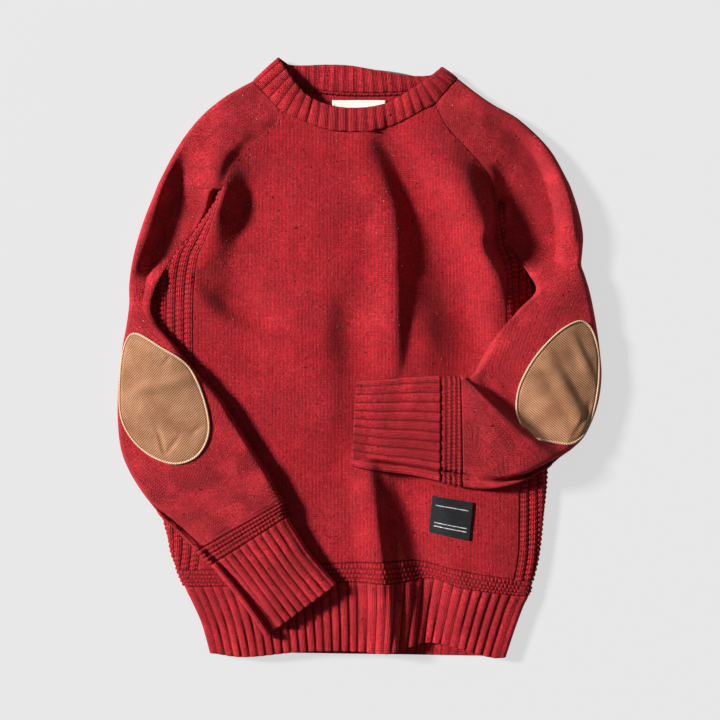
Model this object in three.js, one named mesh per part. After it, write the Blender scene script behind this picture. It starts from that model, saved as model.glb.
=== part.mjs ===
// Knitted wool jumper with corduroy elbow patches, lying flat on its back, both sleeves folded in.
// Units are millimetres. +X is the wearer's left (right of the plan), +Y the neck, +Z up.
// Every piece of cloth is a thin closed wall; pieces stand a seam gap apart.
import * as THREE from 'three';

// ---- driving sizes ----
const KNIT = 2.6;            // knitted wall
const RIB = 2.8;             // ribbed wall of cuffs, hem and collar
const CORDUROY = 1.4;
const SEAM_GAP = 0.3;
const LAID_GAP = 3.0;        // air between a sleeve and the cloth under it
const PATCH_LIFT = 0.9;
const PIPING_RADIUS = 1.3;
const FOLD_HEIGHT = 6;       // height of the outermost line of a side fold
const FOLD_ROUND = 9;        // how far in from the fold the cloth turns over
const SLEEVE_EDGE = 5.5;
const SLEEVE_ROUND = 7;
const SIDE_THICK = 13;       // body thickness just inside its side folds
const BODY_HIGH = 21;
const HEM_HIGH = 17;
const NECK_HIGH = 18;
const BRIDGE = 24;           // reach of a sleeve stepping down off the body's side

// ---- plan of the body: rows run from the hem (0) to the neck (17) ----
const RIB_TOP_ROW = 3;
const BAND_TOP_ROW = 4;
const UNDERARM_ROW = 12;
const NECK_ROW = 17;
const EDGE_LEFT = [
  [-171, -334], [-180, -302], [-191, -277], [-200, -259], [-208, -240], [-218, -205], [-234, -120],
  [-237, -30], [-238, 60], [-214, 111], [-192, 138], [-172, 168], [-163, 192],
];
const EDGE_RIGHT = [
  [167, -339], [177, -309], [187, -282], [193, -270], [197, -253], [205, -215], [213, -130],
  [210, -40], [200, 50], [189, 98], [166, 128], [163, 155], [162, 178],
];
const SEAM_LEFT = [
  [-183, -240], [-180, -205], [-183, -120], [-187, -30], [-188, 60], [-184, 111], [-173, 138],
  [-162, 168], [-155, 192], [-144, 220], [-125, 241], [-107, 256], [-96, 267], [-90, 281],
];
const SEAM_RIGHT = [
  [176, -253], [181, -215], [181, -130], [173, -40], [166, 50], [165, 98], [156, 128],
  [154, 155], [152, 178], [147, 206], [125, 233], [104, 255], [95, 268], [86, 287],
];
const BACK_RAGLAN_LEFT = [[-155, 192], [-144, 224], [-128, 250], [-112, 274], [-101, 294], [-95, 311]];
const BACK_RAGLAN_RIGHT = [[152, 178], [146, 212], [127, 244], [108, 271], [98, 292], [90, 312]];

// ---- lines across the body, each a height y along x ----
const HEM_LINE = [
  [-171, -334], [-132, -338], [-66, -332], [-20, -331], [30, -333], [56, -327], [78, -323], [110, -328],
  [150, -339], [167, -339],
];
const RIB_TOP_LINE = [
  [-200, -259], [-100, -256], [-15, -253], [40, -254], [84, -250], [112, -259], [160, -267], [193, -270],
];
const BAND_TOP_LINE = [
  [-208, -240], [-110, -236], [-20, -231], [40, -229], [70, -230], [100, -237], [140, -245], [197, -253],
];
const NECK_LINE = [
  [-90, 281], [-68, 270], [-43, 260], [-17, 256], [11, 256], [36, 262], [56, 271], [74, 281], [86, 287],
];
const BACK_NECK_LINE = [
  [-95, 311], [-64, 308], [-40, 305], [-11, 303], [23, 303], [45, 304], [68, 307], [90, 312],
];

// ---- soft folds of the front: points [x, y, height], then reach to the left and to the right ----
const FOLDS = [
  { line: [[18, 262, 0], [29, 236, -6], [45, 202, -10], [63, 150, -11], [68, 89, -10], [54, 21, -8],
    [40, -50, -4], [36, -90, 0]], left: 18, right: 26 },
  { line: [[-9, 250, 0], [2, 202, 4], [14, 168, 6], [26, 110, 7], [24, 40, 6], [14, -20, 4], [6, -80, 0]],
    left: 34, right: 18 },
  { line: [[51, 266, 0], [68, 236, 6], [82, 207, 9], [100, 155, 12], [116, 89, 11], [130, 25, 9],
    [140, -24, 6], [146, -80, 0]], left: 27, right: 23 },
  { line: [[79, 278, 0], [90, 258, -5], [105, 241, -7], [124, 219, -7], [138, 190, -5], [146, 150, 0]],
    left: 16, right: 16 },
  { line: [[-128, 236, 0], [-132, 213, -6], [-140, 179, -8], [-145, 145, -8], [-142, 117, -6], [-137, 80, 0]],
    left: 16, right: 25 },
  { line: [[-138, 115, 0], [-127, 89, -5], [-110, 55, -7], [-84, 12, 0]], left: 18, right: 23 },
  { line: [[-172, 76, 0], [-155, 55, 3], [-128, 32, 5], [-95, 10, 4], [-70, -20, 0]], left: 28, right: 28 },
  { line: [[0, -95, 0], [5, -130, 6], [12, -160, 8], [18, -205, 10], [26, -262, 11], [38, -338, 9]],
    left: 27, right: 14 },
  { line: [[36, -110, 0], [37, -150, -6], [49, -205, -8], [57, -262, -8], [63, -338, -7]], left: 16, right: 20 },
  { line: [[68, -120, 0], [81, -182, 4], [96, -228, 4], [115, -338, 3]], left: 25, right: 25 },
];

// ---- sleeves: stations down the arm, the first six on the raglan seam ----
// outer and inner ends in plan, then the top's height by the outer fold, by the inner, and the swell
const RAGLAN_STATIONS = 5;
const LEFT_ARM = [
  { outer: [-122, 315], inner: [-90, 281], high: [15, 18, 1] },
  { outer: [-137, 307], inner: [-96, 267], high: [16, 18, 2] },
  { outer: [-158, 294], inner: [-107, 256], high: [17, 18, 3] },
  { outer: [-182, 273], inner: [-125, 241], high: [18, 18, 5] },
  { outer: [-205, 243], inner: [-144, 220], high: [20, 18, 5] },
  { outer: [-226, 204], inner: [-155, 192], high: [22, 13, 4] },
  { outer: [-233, 187], inner: [-165.5, 193.5], high: [24, 16, 2] },
  { outer: [-243, 162], inner: [-174.5, 168], high: [26, 15, 1] },
  { outer: [-252, 135], inner: [-194, 140], high: [28, 14, 0] },
  { outer: [-259, 106], inner: [-219, 109], high: [29, 17, 0] },
  { outer: [-262, 82], inner: [-239, 81], high: [28, 24, 1] },
  { outer: [-262, 62], inner: [-241, 57], high: [27, 27, 2] },
  { outer: [-265, 38], inner: [-228, 38], high: [25, 32, 4] },
  { outer: [-270, 10], inner: [-208, 16], high: [23, 35, 6] },
  { outer: [-274, -28], inner: [-184, -14], high: [21, 36, 8] },
  { outer: [-275, -69], inner: [-158, -42], high: [20, 37, 9] },
  { outer: [-270, -108], inner: [-140, -70], high: [20, 37, 9] },
  { outer: [-253, -143], inner: [-122, -98], high: [23, 38, 8] },
  { outer: [-228, -173], inner: [-105, -125], high: [28, 38, 7] },
  { outer: [-205, -196], inner: [-93, -146], high: [32, 38, 6] },
  { outer: [-184, -217], inner: [-85, -160], high: [34, 37, 5] },
  { outer: [-168, -233], inner: [-82, -178], high: [34, 36, 5] },
  { outer: [-150, -254], inner: [-70, -199], high: [33, 35, 5] },
  { outer: [-135, -273], inner: [-57, -219], high: [33, 34, 4] },
  { outer: [-120, -294], inner: [-41, -238], high: [32, 34, 4] },
  { outer: [-107, -314], inner: [-27, -254], high: [31, 33, 3] },
];
const LEFT_BAND_STATION = 20;
const LEFT_CUFF_STATION = 21;
const LEFT_OVER_BODY = [8, 10];
const RIGHT_ARM = [
  { outer: [112, 318], inner: [86, 287], high: [15, 18, 1] },
  { outer: [134, 301], inner: [95, 268], high: [16, 18, 2] },
  { outer: [153, 288], inner: [104, 255], high: [17, 18, 3] },
  { outer: [182, 271], inner: [125, 233], high: [18, 18, 4] },
  { outer: [215, 239], inner: [147, 206], high: [20, 18, 4] },
  { outer: [236, 203], inner: [152.4, 178.5], high: [21, 13, 4] },
  { outer: [243, 186], inner: [165.5, 181.5], high: [22, 15, 2] },
  { outer: [250, 163], inner: [166, 154], high: [23, 14, 2] },
  { outer: [254, 140], inner: [169.5, 129], high: [24, 15, 2] },
  { outer: [253, 120], inner: [186, 109], high: [25, 20, 2] },
  { outer: [252, 106], inner: [198, 92], high: [25, 28, 2] },
  { outer: [256, 94], inner: [199, 76], high: [25, 33, 3] },
  { outer: [262, 74], inner: [178, 54], high: [24, 37, 6] },
  { outer: [268, 44], inner: [157, 30], high: [22, 38, 8] },
  { outer: [273, 10], inner: [141, 6], high: [21, 39, 9] },
  { outer: [275, -22], inner: [131, -13], high: [21, 38, 9] },
  { outer: [270, -55], inner: [126, -18.5], high: [21, 37, 9] },
  { outer: [257, -86], inner: [123, -21], high: [22, 37, 8] },
  { outer: [242, -102], inner: [121, -22.5], high: [24, 37, 8] },
  { outer: [227, -112], inner: [119.5, -23], high: [28, 41, 8] },
  { outer: [212, -123], inner: [118, -22.5], high: [31, 46, 7] },
  { outer: [186, -138], inner: [116.5, -21.5], high: [33, 46, 7] },
  { outer: [150, -147], inner: [115, -20.5], high: [35, 45, 6] },
  { outer: [116, -144.5], inner: [113, -20], high: [36, 44, 6] },
  { outer: [91, -139], inner: [91, -21], high: [36, 43, 5] },
  { outer: [60, -132.5], inner: [59, -22.5], high: [36, 42, 5] },
  { outer: [26, -128], inner: [26, -25], high: [35, 41, 4] },
  { outer: [-9, -121], inner: [-4, -27], high: [34, 40, 3] },
];
const RIGHT_BAND_STATION = 23;
const RIGHT_CUFF_STATION = 24;
const RIGHT_OVER_BODY = [8, 10];

// ---- elbow patches, labels and collar ----
const LEFT_PATCH = [
  [-251, 25], [-262, 8], [-266, -30], [-265, -64], [-252, -92], [-231, -110], [-205, -117], [-181, -107],
  [-169, -80], [-176, -42], [-193, -9], [-222, 11],
];
const RIGHT_PATCH = [
  [248, 41], [229, 33], [208, 14], [190, -10], [179, -36], [178, -66], [192, -86], [218, -92], [238, -92],
  [254, -75], [263, -40], [265, 0], [260, 30],
];
const HEM_LABEL = [[82, -155], [129, -163], [124.5, -206], [78, -197]];
const NECK_LABEL = { left: -31, right: 30, low: 266, high: 294, thick: 0.8 };
// seam end, free end and height of the free end, round the neck from the back of the left shoulder
const COLLAR_FREE = [
  [-80, 334, 1.5], [-87, 339, 3], [-92, 342, 9], [-89, 336, 15], [-80, 323, 19], [-70, 309, 20],
  [-58, 297, 20], [-40, 288, 20], [-17, 283.5, 20], [9, 284, 20], [32, 289, 20], [49, 298, 20], [63, 307, 20],
  [70, 311, 20], [80, 319, 19], [88, 326, 15], [93, 331, 9], [89, 326, 3], [79, 321, 1.5],
  [62, 320.5, 1], [43, 323, 1], [20, 327.5, 1], [-11, 333, 1], [-38, 334, 1], [-64, 333, 1],
];

const wool = new THREE.MeshStandardMaterial({ color: 0xb02236, roughness: 0.95 });
const corduroy = new THREE.MeshStandardMaterial({ color: 0x9b6a48, roughness: 0.9 });
const cord = new THREE.MeshStandardMaterial({ color: 0xcdb08c, roughness: 0.85 });
const blackTape = new THREE.MeshStandardMaterial({ color: 0x141416, roughness: 0.8 });
const creamTape = new THREE.MeshStandardMaterial({ color: 0xe6dfd0, roughness: 0.8 });

// ---- curves ----
const mix = (a, b, t) => a + (b - a) * t;
const clamp01 = (t) => Math.min(1, Math.max(0, t));
const ease = (t) => clamp01(t) ** 2 * (3 - 2 * clamp01(t));

function spline(points, position) {
  const last = points.length - 1;
  const at = Math.min(last, Math.max(0, position));
  const index = Math.min(last - 1, Math.floor(at));
  const t = at - index;
  const before = points[Math.max(0, index - 1)];
  const start = points[index];
  const end = points[index + 1];
  const after = points[Math.min(last, index + 2)];
  return start.map((value, k) => {
    const slopeIn = (end[k] - before[k]) / 2;
    const slopeOut = (after[k] - value) / 2;
    const rise = end[k] - value;
    const cubic = slopeIn + slopeOut - 2 * rise;
    const square = 3 * rise - 2 * slopeIn - slopeOut;
    return value + t * (slopeIn + t * (square + t * cubic));
  });
}

function lineHeight(line, x) {
  if (x <= line[0][0]) return line[0][1];
  for (let k = 1; k < line.length; k += 1) {
    if (x <= line[k][0]) {
      const t = (x - line[k - 1][0]) / (line[k][0] - line[k - 1][0]);
      return spline(line, k - 1 + t)[1];
    }
  }
  return line[line.length - 1][1];
}

function sampled(points, stepsEach) {
  const steps = (points.length - 1) * stepsEach;
  return Array.from({ length: steps + 1 }, (_, k) => spline(points, k / stepsEach));
}

// nearest place on a chain of points: distance, side (left of travel is positive), third value there
function nearest(chain, x, y) {
  let best = { distance: Infinity, side: 1, value: 0 };
  for (let k = 1; k < chain.length; k += 1) {
    const [ax, ay, av = 0] = chain[k - 1];
    const [bx, by, bv = 0] = chain[k];
    const length2 = (bx - ax) ** 2 + (by - ay) ** 2;
    const t = clamp01(((x - ax) * (bx - ax) + (y - ay) * (by - ay)) / length2);
    const distance = Math.hypot(x - mix(ax, bx, t), y - mix(ay, by, t));
    if (distance < best.distance) {
      const cross = (bx - ax) * (y - ay) - (by - ay) * (x - ax);
      best = { distance, side: Math.sign(cross) || 1, value: mix(av, bv, t) };
    }
  }
  return best;
}

// ---- the body's surface ----
const edgeLeft = sampled(EDGE_LEFT, 4);
const edgeRight = sampled(EDGE_RIGHT, 4);
const foldLines = FOLDS.map((fold) => ({ ...fold, line: sampled(fold.line, 3) }));

function foldHeight(x, y) {
  let total = 0;
  for (const fold of foldLines) {
    const hit = nearest(fold.line, x, y);
    const reach = hit.side > 0 ? fold.right : fold.left;
    if (hit.distance < reach) {
      total += hit.value * 0.5 * (1 + Math.cos(Math.PI * hit.distance / reach));
    }
  }
  return total;
}

// distance in from the nearer side fold, negative outside it
function insideBody(x, y) {
  const left = nearest(edgeLeft, x, y);
  const right = nearest(edgeRight, x, y);
  const fromLeft = left.distance * (left.side > 0 ? -1 : 1);
  const fromRight = right.distance * (right.side > 0 ? 1 : -1);
  if (left.distance < right.distance) return y > 192 ? left.distance : fromLeft;
  return y > 178 ? right.distance : fromRight;
}

function bodyCloth(x, y, inside) {
  const hem = mix(HEM_HIGH, BODY_HIGH, ease((y + 338) / 110));
  const high = mix(hem, NECK_HIGH, ease((y - 215) / 75));
  return mix(SIDE_THICK, high, ease(inside / 60)) + foldHeight(x, y) * ease(inside / 34);
}

const turnOver = (inside, reach) => Math.sqrt(1 - (1 - clamp01(inside / reach)) ** 2);

function bodyTop(x, y) {
  const inside = Math.max(0, insideBody(x, y));
  return mix(FOLD_HEIGHT, bodyCloth(x, y, inside), turnOver(inside, FOLD_ROUND));
}

function bodyUnder(x, y) {
  const inside = Math.max(0, insideBody(x, y));
  return FOLD_HEIGHT * (1 - turnOver(inside, FOLD_ROUND));
}

// what a sleeve lies on: the front of the body, stepping down to the table outside it
function layUpon(x, y) {
  const inside = insideBody(x, y);
  if (inside >= 0) return bodyCloth(x, y, inside) + LAID_GAP;
  return (SIDE_THICK + LAID_GAP) * (1 - ease(-inside / BRIDGE));
}

// ---- rows across the body ----
function rowEnds(row) {
  if (row <= UNDERARM_ROW) return [spline(EDGE_LEFT, row), spline(EDGE_RIGHT, row)];
  return [spline(SEAM_LEFT, row - BAND_TOP_ROW), spline(SEAM_RIGHT, row - BAND_TOP_ROW)];
}

function straightRow(row, x) {
  const [left, right] = rowEnds(row);
  return mix(left[1], right[1], (x - left[0]) / (right[0] - left[0]));
}

function sag(row, x) {
  const off = (line, lineRow) => lineHeight(line, x) - straightRow(lineRow, x);
  if (row <= RIB_TOP_ROW) {
    return mix(off(HEM_LINE, 0), off(RIB_TOP_LINE, RIB_TOP_ROW), row / RIB_TOP_ROW);
  }
  if (row <= BAND_TOP_ROW) {
    return mix(off(RIB_TOP_LINE, RIB_TOP_ROW), off(BAND_TOP_LINE, BAND_TOP_ROW), row - RIB_TOP_ROW);
  }
  if (row < 7) return off(BAND_TOP_LINE, BAND_TOP_ROW) * (1 - ease((row - BAND_TOP_ROW) / 3));
  if (row <= UNDERARM_ROW || x < NECK_LINE[0][0] || x > NECK_LINE.at(-1)[0]) return 0;
  return off(NECK_LINE, NECK_ROW) * ((row - UNDERARM_ROW) / 5) ** 2;
}

const rowY = (row, x) => straightRow(row, x) + sag(row, x);
const onFront = (row, x) => new THREE.Vector3(x, rowY(row, x), bodyTop(x, rowY(row, x)));

// places across a flat tube, close together at its two folds
const FOLD_STEPS = [0, 1.3, 5, 14];
function acrossPlaces(count, width) {
  const scale = Math.min(1, width / 50);
  const middle = count - 2 * (FOLD_STEPS.length - 1);
  const near = FOLD_STEPS.map((step) => step * scale);
  const edge = near.at(-1);
  const places = [...near];
  for (let k = 1; k < middle; k += 1) places.push(mix(edge, width - edge, k / middle));
  return [...places, ...near.map((step) => width - step).reverse()];
}

// ---- closed walls ----
function gridNormals(grid, outward, closedFrom) {
  const rows = grid.length;
  const columns = grid[0].length;
  const normals = grid.map((row) => row.map(() => new THREE.Vector3()));
  for (let j = 0; j + 1 < rows; j += 1) {
    for (let i = 0; i + 1 < columns; i += 1) {
      const a = new THREE.Vector3().subVectors(grid[j + 1][i + 1], grid[j][i]);
      const b = new THREE.Vector3().subVectors(grid[j + 1][i], grid[j][i + 1]);
      const face = a.cross(b).multiplyScalar(outward);
      [[j, i], [j, i + 1], [j + 1, i], [j + 1, i + 1]].forEach(([r, c]) => normals[r][c].add(face));
    }
  }
  for (let j = 0; j < rows; j += 1) {
    if (j >= closedFrom) {
      const shared = normals[j][0].clone().normalize().add(normals[j][columns - 1].clone().normalize());
      normals[j][0].copy(shared);
      normals[j][columns - 1].copy(shared);
    }
    normals[j].forEach((normal) => normal.normalize());
  }
  return normals;
}

// the outer faces are the grid; the inner ones stand a thickness behind it
// before and after are the neighbours' rows past a seam, so both pieces face one way along it
function wall(name, grid, thickness, material, options = {}) {
  const { outward = 1, closedFrom = Infinity, normalAt, before = [], after = [] } = options;
  const rows = grid.length;
  const columns = grid[0].length;
  const own = gridNormals([...before, ...grid, ...after], outward, closedFrom + before.length);
  const normals = grid.map((row, j) => row.map((_, i) => (normalAt && normalAt(j, i)) || own[j + before.length][i]));
  const positions = [];
  grid.flat().forEach((point) => positions.push(point.x, point.y, point.z));
  grid.forEach((row, j) => row.forEach((point, i) => {
    const inner = point.clone().addScaledVector(normals[j][i], -thickness);
    positions.push(inner.x, inner.y, inner.z);
  }));
  const shift = rows * columns;
  const at = (j, i) => j * columns + i;
  const faces = [];
  const quad = (a, b, c, d) => {
    if (outward > 0) faces.push(a, b, c, a, c, d);
    else faces.push(a, c, b, a, d, c);
  };
  for (let j = 0; j + 1 < rows; j += 1) {
    for (let i = 0; i + 1 < columns; i += 1) {
      const corners = [at(j, i), at(j, i + 1), at(j + 1, i + 1), at(j + 1, i)];
      quad(...corners);
      quad(shift + corners[0], shift + corners[3], shift + corners[2], shift + corners[1]);
    }
    quad(at(j, 0), at(j + 1, 0), shift + at(j + 1, 0), shift + at(j, 0));
    quad(at(j + 1, columns - 1), at(j, columns - 1), shift + at(j, columns - 1), shift + at(j + 1, columns - 1));
  }
  for (let i = 0; i + 1 < columns; i += 1) {
    quad(at(0, i + 1), at(0, i), shift + at(0, i), shift + at(0, i + 1));
    quad(at(rows - 1, i), at(rows - 1, i + 1), shift + at(rows - 1, i + 1), shift + at(rows - 1, i));
  }
  const geometry = new THREE.BufferGeometry();
  geometry.setAttribute('position', new THREE.Float32BufferAttribute(positions, 3));
  geometry.setIndex(faces);
  const mesh = new THREE.Mesh(geometry, material);
  mesh.name = name;
  return { mesh, grid, normals };
}

// draws the first and last rows of a piece back from its seams
function drawBack(grid, atStart, atEnd) {
  const last = grid.length - 1;
  grid[0].forEach((point, i) => {
    if (atStart) point.addScaledVector(new THREE.Vector3().subVectors(grid[1][i], point).normalize(), SEAM_GAP);
  });
  grid[last].forEach((point, i) => {
    if (atEnd) point.addScaledVector(new THREE.Vector3().subVectors(grid[last - 1][i], point).normalize(), SEAM_GAP);
  });
}

// the way the front of the body faces at a place in plan
function frontNormal(x, y) {
  const step = 0.5;
  const slopeX = (bodyTop(x + step, y) - bodyTop(x - step, y)) / (2 * step);
  const slopeY = (bodyTop(x, y + step) - bodyTop(x, y - step)) / (2 * step);
  return new THREE.Vector3(-slopeX, -slopeY, 1).normalize();
}

const spread = (from, to, count) => Array.from({ length: count + 1 }, (_, k) => mix(from, to, k / count));

// ---- body pieces ----
const SIDE_ROWS = [BAND_TOP_ROW, 4.5, 5, 5.5, 6, 6.5, 7, 7.5, 8, 8.5, 9, 10, 11, 12];

function frontPanel() {
  const rows = [...SIDE_ROWS, 13, 14, 15, 16, 17];
  const grid = rows.map((row) => {
    const [left] = spline(SEAM_LEFT, row - BAND_TOP_ROW);
    const [right] = spline(SEAM_RIGHT, row - BAND_TOP_ROW);
    return spread(left + SEAM_GAP, right - SEAM_GAP, 21).map((x) => onFront(row, x));
  });
  drawBack(grid, true, false);
  return wall('front_panel', grid, KNIT, wool, { normalAt: (j, i) => frontNormal(grid[j][i].x, grid[j][i].y) });
}

function backPanel() {
  const rows = [...SIDE_ROWS, 13, 14, 15, 16, 17];
  const grid = rows.map((row) => {
    const raglan = row - UNDERARM_ROW;
    const seamRow = row - BAND_TOP_ROW;
    const left = raglan > 0 ? spline(BACK_RAGLAN_LEFT, raglan) : spline(SEAM_LEFT, seamRow);
    const right = raglan > 0 ? spline(BACK_RAGLAN_RIGHT, raglan) : spline(SEAM_RIGHT, seamRow);
    return spread(0, 1, 6).map((t) => {
      const x = mix(left[0] + SEAM_GAP, right[0] - SEAM_GAP, t);
      const flat = raglan > 0 ? mix(left[1], right[1], t) : straightRow(row, x);
      const scoop = raglan > 0 ? (lineHeight(BACK_NECK_LINE, x) - mix(311, 312, t)) * (raglan / 5) ** 2 : 0;
      return new THREE.Vector3(x, flat + scoop, 0);
    });
  });
  drawBack(grid, true, false);
  return wall('back_panel', grid, KNIT, wool, { outward: -1 });
}

function sidePanel(name, edges, seams, side) {
  const grid = SIDE_ROWS.map((row) => {
    const edge = spline(edges, row)[0];
    const seam = spline(seams, row - BAND_TOP_ROW)[0];
    const width = Math.abs(edge - seam) - SEAM_GAP;
    const turn = Math.min(1, width / 16);
    const steps = [0, 0.9, 3.5, 9].map((step) => step * turn);
    const inward = [...steps, mix(steps.at(-1), width, 0.5), width];
    const under = inward.map((step) => {
      const x = edge - side * step;
      return new THREE.Vector3(x, straightRow(row, x), bodyUnder(x, straightRow(row, x)));
    });
    const top = inward.map((step) => onFront(row, edge - side * step));
    return [...under.reverse(), ...top.slice(1)];
  });
  drawBack(grid, true, true);
  const last = grid[0].length - 1;
  const normalAt = (j, i) => (i === last ? frontNormal(grid[j][i].x, grid[j][i].y) : null);
  return wall(name, grid, KNIT, wool, { outward: -side, normalAt });
}

// hem band and hem rib: one strip of knitting all round the bottom, joined at the left side
function hemRing(name, rows, thickness, atHem) {
  const grid = rows.map((row) => {
    const left = spline(EDGE_LEFT, row)[0];
    const right = spline(EDGE_RIGHT, row)[0];
    const places = acrossPlaces(20, right - left).map((step) => left + step);
    const under = places.map((x) => new THREE.Vector3(x, straightRow(row, x), bodyUnder(x, straightRow(row, x))));
    const top = places.map((x) => onFront(row, x)).reverse();
    under[0].z -= SEAM_GAP / 2;
    top.at(-1).z += SEAM_GAP / 2;
    return [...under, ...top.slice(1)];
  });
  drawBack(grid, !atHem, true);
  const turned = (grid[0].length - 1) / 2;
  const normalAt = (j, i) => {
    const { x, y } = grid[j][i];
    return i > turned && insideBody(x, y) > 3 ? frontNormal(x, y) : null;
  };
  return wall(name, grid, thickness, wool, { outward: -1, closedFrom: 0, normalAt });
}

// ---- sleeves ----
const ACROSS = 10;

function armStation(arm, station) {
  const plan = spline(arm.stations.map((entry) => [...entry.outer, ...entry.inner, ...entry.high]), station);
  const [ox, oy, ix, iy, highOuter, highInner, swell] = plan;
  const back = station < RAGLAN_STATIONS
    ? spline(arm.backRaglan, RAGLAN_STATIONS - station) : [ix, iy];
  return { outer: [ox, oy], inner: [ix, iy], back, highOuter, highInner, swell };
}

// height of the cloth on one side of the sleeve, from its outer fold (0) to its inner end (width)
function sleevePoint(arm, station, place, width, onTop) {
  const at = armStation(arm, station);
  const end = onTop ? at.inner : at.back;
  const part = place / width;
  const x = mix(at.outer[0], end[0], part);
  const y = mix(at.outer[1], end[1], part);
  const open = station < RAGLAN_STATIONS + 0.5;
  const over = ease((station - arm.overBody[0]) / (arm.overBody[1] - arm.overBody[0]));
  const bed = over > 0 ? over * layUpon(x, y) : 0;
  const reach = SLEEVE_ROUND * Math.min(1, width / 26);
  const turn = turnOver(place, reach) * (open ? 1 : turnOver(width - place, reach));
  const edge = bed + SLEEVE_EDGE;
  if (!onTop) return new THREE.Vector3(x, y, mix(edge, bed, turn));
  const meets = open ? bodyTop(...at.inner) : at.highInner;
  const high = mix(at.highOuter, meets, ease(part)) + at.swell * Math.sin(Math.PI * part);
  const clear = bed + 2 * KNIT + 2;
  return new THREE.Vector3(x, y, mix(edge, Math.max(high, clear), turn));
}

function sleeveRing(name, arm, stations, thickness, { fromSeam, toSeam }) {
  const ringAt = (station) => {
    const at = armStation(arm, station);
    const topWidth = Math.hypot(at.outer[0] - at.inner[0], at.outer[1] - at.inner[1]);
    const backWidth = Math.hypot(at.outer[0] - at.back[0], at.outer[1] - at.back[1]);
    const under = acrossPlaces(ACROSS, backWidth)
      .map((place) => sleevePoint(arm, station, place, backWidth, false)).reverse();
    const top = acrossPlaces(ACROSS, topWidth)
      .map((place) => sleevePoint(arm, station, place, topWidth, true));
    const gap = new THREE.Vector3(at.outer[0] - at.inner[0], at.outer[1] - at.inner[1], 0).setLength(SEAM_GAP);
    if (station < RAGLAN_STATIONS + 0.5) {
      under[0].add(gap);
      top.at(-1).add(gap);
    } else {
      under[0].z -= SEAM_GAP / 2;
      top.at(-1).z += SEAM_GAP / 2;
    }
    return [...under, ...top.slice(1)];
  };
  const grid = stations.map(ringAt);
  drawBack(grid, fromSeam, toSeam);
  const last = grid[0].length - 1;
  const normalAt = (j, i) => {
    if (stations[j] > RAGLAN_STATIONS || (i > 0 && i < last)) return null;
    return i === 0 ? new THREE.Vector3(0, 0, -1) : frontNormal(grid[j][i].x, grid[j][i].y);
  };
  return wall(name, grid, thickness, wool, {
    outward: arm.side,
    closedFrom: stations.findIndex((station) => station > RAGLAN_STATIONS + 0.5),
    normalAt,
    before: fromSeam ? [ringAt(stations[0] - 1)] : [],
    after: toSeam ? [ringAt(stations.at(-1) + 1)] : [],
  });
}

// ---- collar: one rib all round the neck ----
function collarRing(left, right) {
  const shoulder = (sleeve, picks) => picks.map((pick) => sleeve.grid[0][pick]);
  const front = [-68, -43, -17, 11, 36, 56, 74].map((x) => onFront(NECK_ROW, x));
  const back = [68, 45, 23, -11, -40, -64].map((x) => new THREE.Vector3(x, lineHeight(BACK_NECK_LINE, x), 0));
  const leftPicks = [0, 8, ACROSS, 12, 15, 20];
  const rightPicks = [...leftPicks].reverse();
  const seam = [...shoulder(left, leftPicks), ...front, ...shoulder(right, rightPicks), ...back];
  const free = COLLAR_FREE;
  const seamPoints = seam.map((point, k) => {
    const [x, y] = free[k];
    const part = 4 * SEAM_GAP / Math.hypot(x - point.x, y - point.y);
    return [mix(point.x, x, part), mix(point.y, y, part), point.z];
  });
  const count = seamPoints.length;
  const ringAt = (points, position) => {
    const at = ((position % count) + count) % count;
    const index = Math.floor(at);
    const pick = (k) => points[(k + count) % count];
    return spline([pick(index - 1), pick(index), pick(index + 1), pick(index + 2)], 1 + at - index);
  };
  const places = [0.01, ...spread(1, count - 1, count - 2), count - 0.01];
  const grid = spread(0, 1, 2).map((rise) => places.map((place) => {
    const low = ringAt(seamPoints, place);
    const high = ringAt(free, place);
    const point = low.map((value, k) => mix(value, high[k], rise));
    return new THREE.Vector3(...point);
  }));
  return wall('collar', grid, RIB, wool, { closedFrom: 0 });
}

// ---- pieces laid on a sheet of cloth ----
function onSheet(sheet, x, y) {
  let best = null;
  const tryFace = (corners) => {
    const [a, b, c] = corners.map(([j, i]) => sheet.grid[j][i]);
    const area = (b.x - a.x) * (c.y - a.y) - (c.x - a.x) * (b.y - a.y);
    if (Math.abs(area) < 1e-6) return;
    const v = ((x - a.x) * (c.y - a.y) - (c.x - a.x) * (y - a.y)) / area;
    const w = ((b.x - a.x) * (y - a.y) - (x - a.x) * (b.y - a.y)) / area;
    if (v < -1e-6 || w < -1e-6 || v + w > 1 + 1e-6) return;
    const weights = [1 - v - w, v, w];
    const point = new THREE.Vector3();
    const normal = new THREE.Vector3();
    corners.forEach(([j, i], k) => {
      point.addScaledVector(sheet.grid[j][i], weights[k]);
      normal.addScaledVector(sheet.normals[j][i], weights[k]);
    });
    if (!best || point.z > best.point.z) best = { point, normal: normal.normalize() };
  };
  for (let j = 0; j + 1 < sheet.grid.length; j += 1) {
    for (let i = 0; i + 1 < sheet.grid[0].length; i += 1) {
      tryFace([[j, i], [j, i + 1], [j + 1, i + 1]]);
      tryFace([[j, i], [j + 1, i + 1], [j + 1, i]]);
    }
  }
  return best;
}

function outlineAt(points, turn) {
  const count = points.length;
  const at = (((turn % 1) + 1) % 1) * count;
  const index = Math.floor(at);
  const pick = (k) => points[(k + count) % count];
  return spline([pick(index - 1), pick(index), pick(index + 1), pick(index + 2)], 1 + at - index);
}

function middleOf(points) {
  return [0, 1].map((k) => points.reduce((sum, point) => sum + point[k], 0) / points.length);
}

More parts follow.
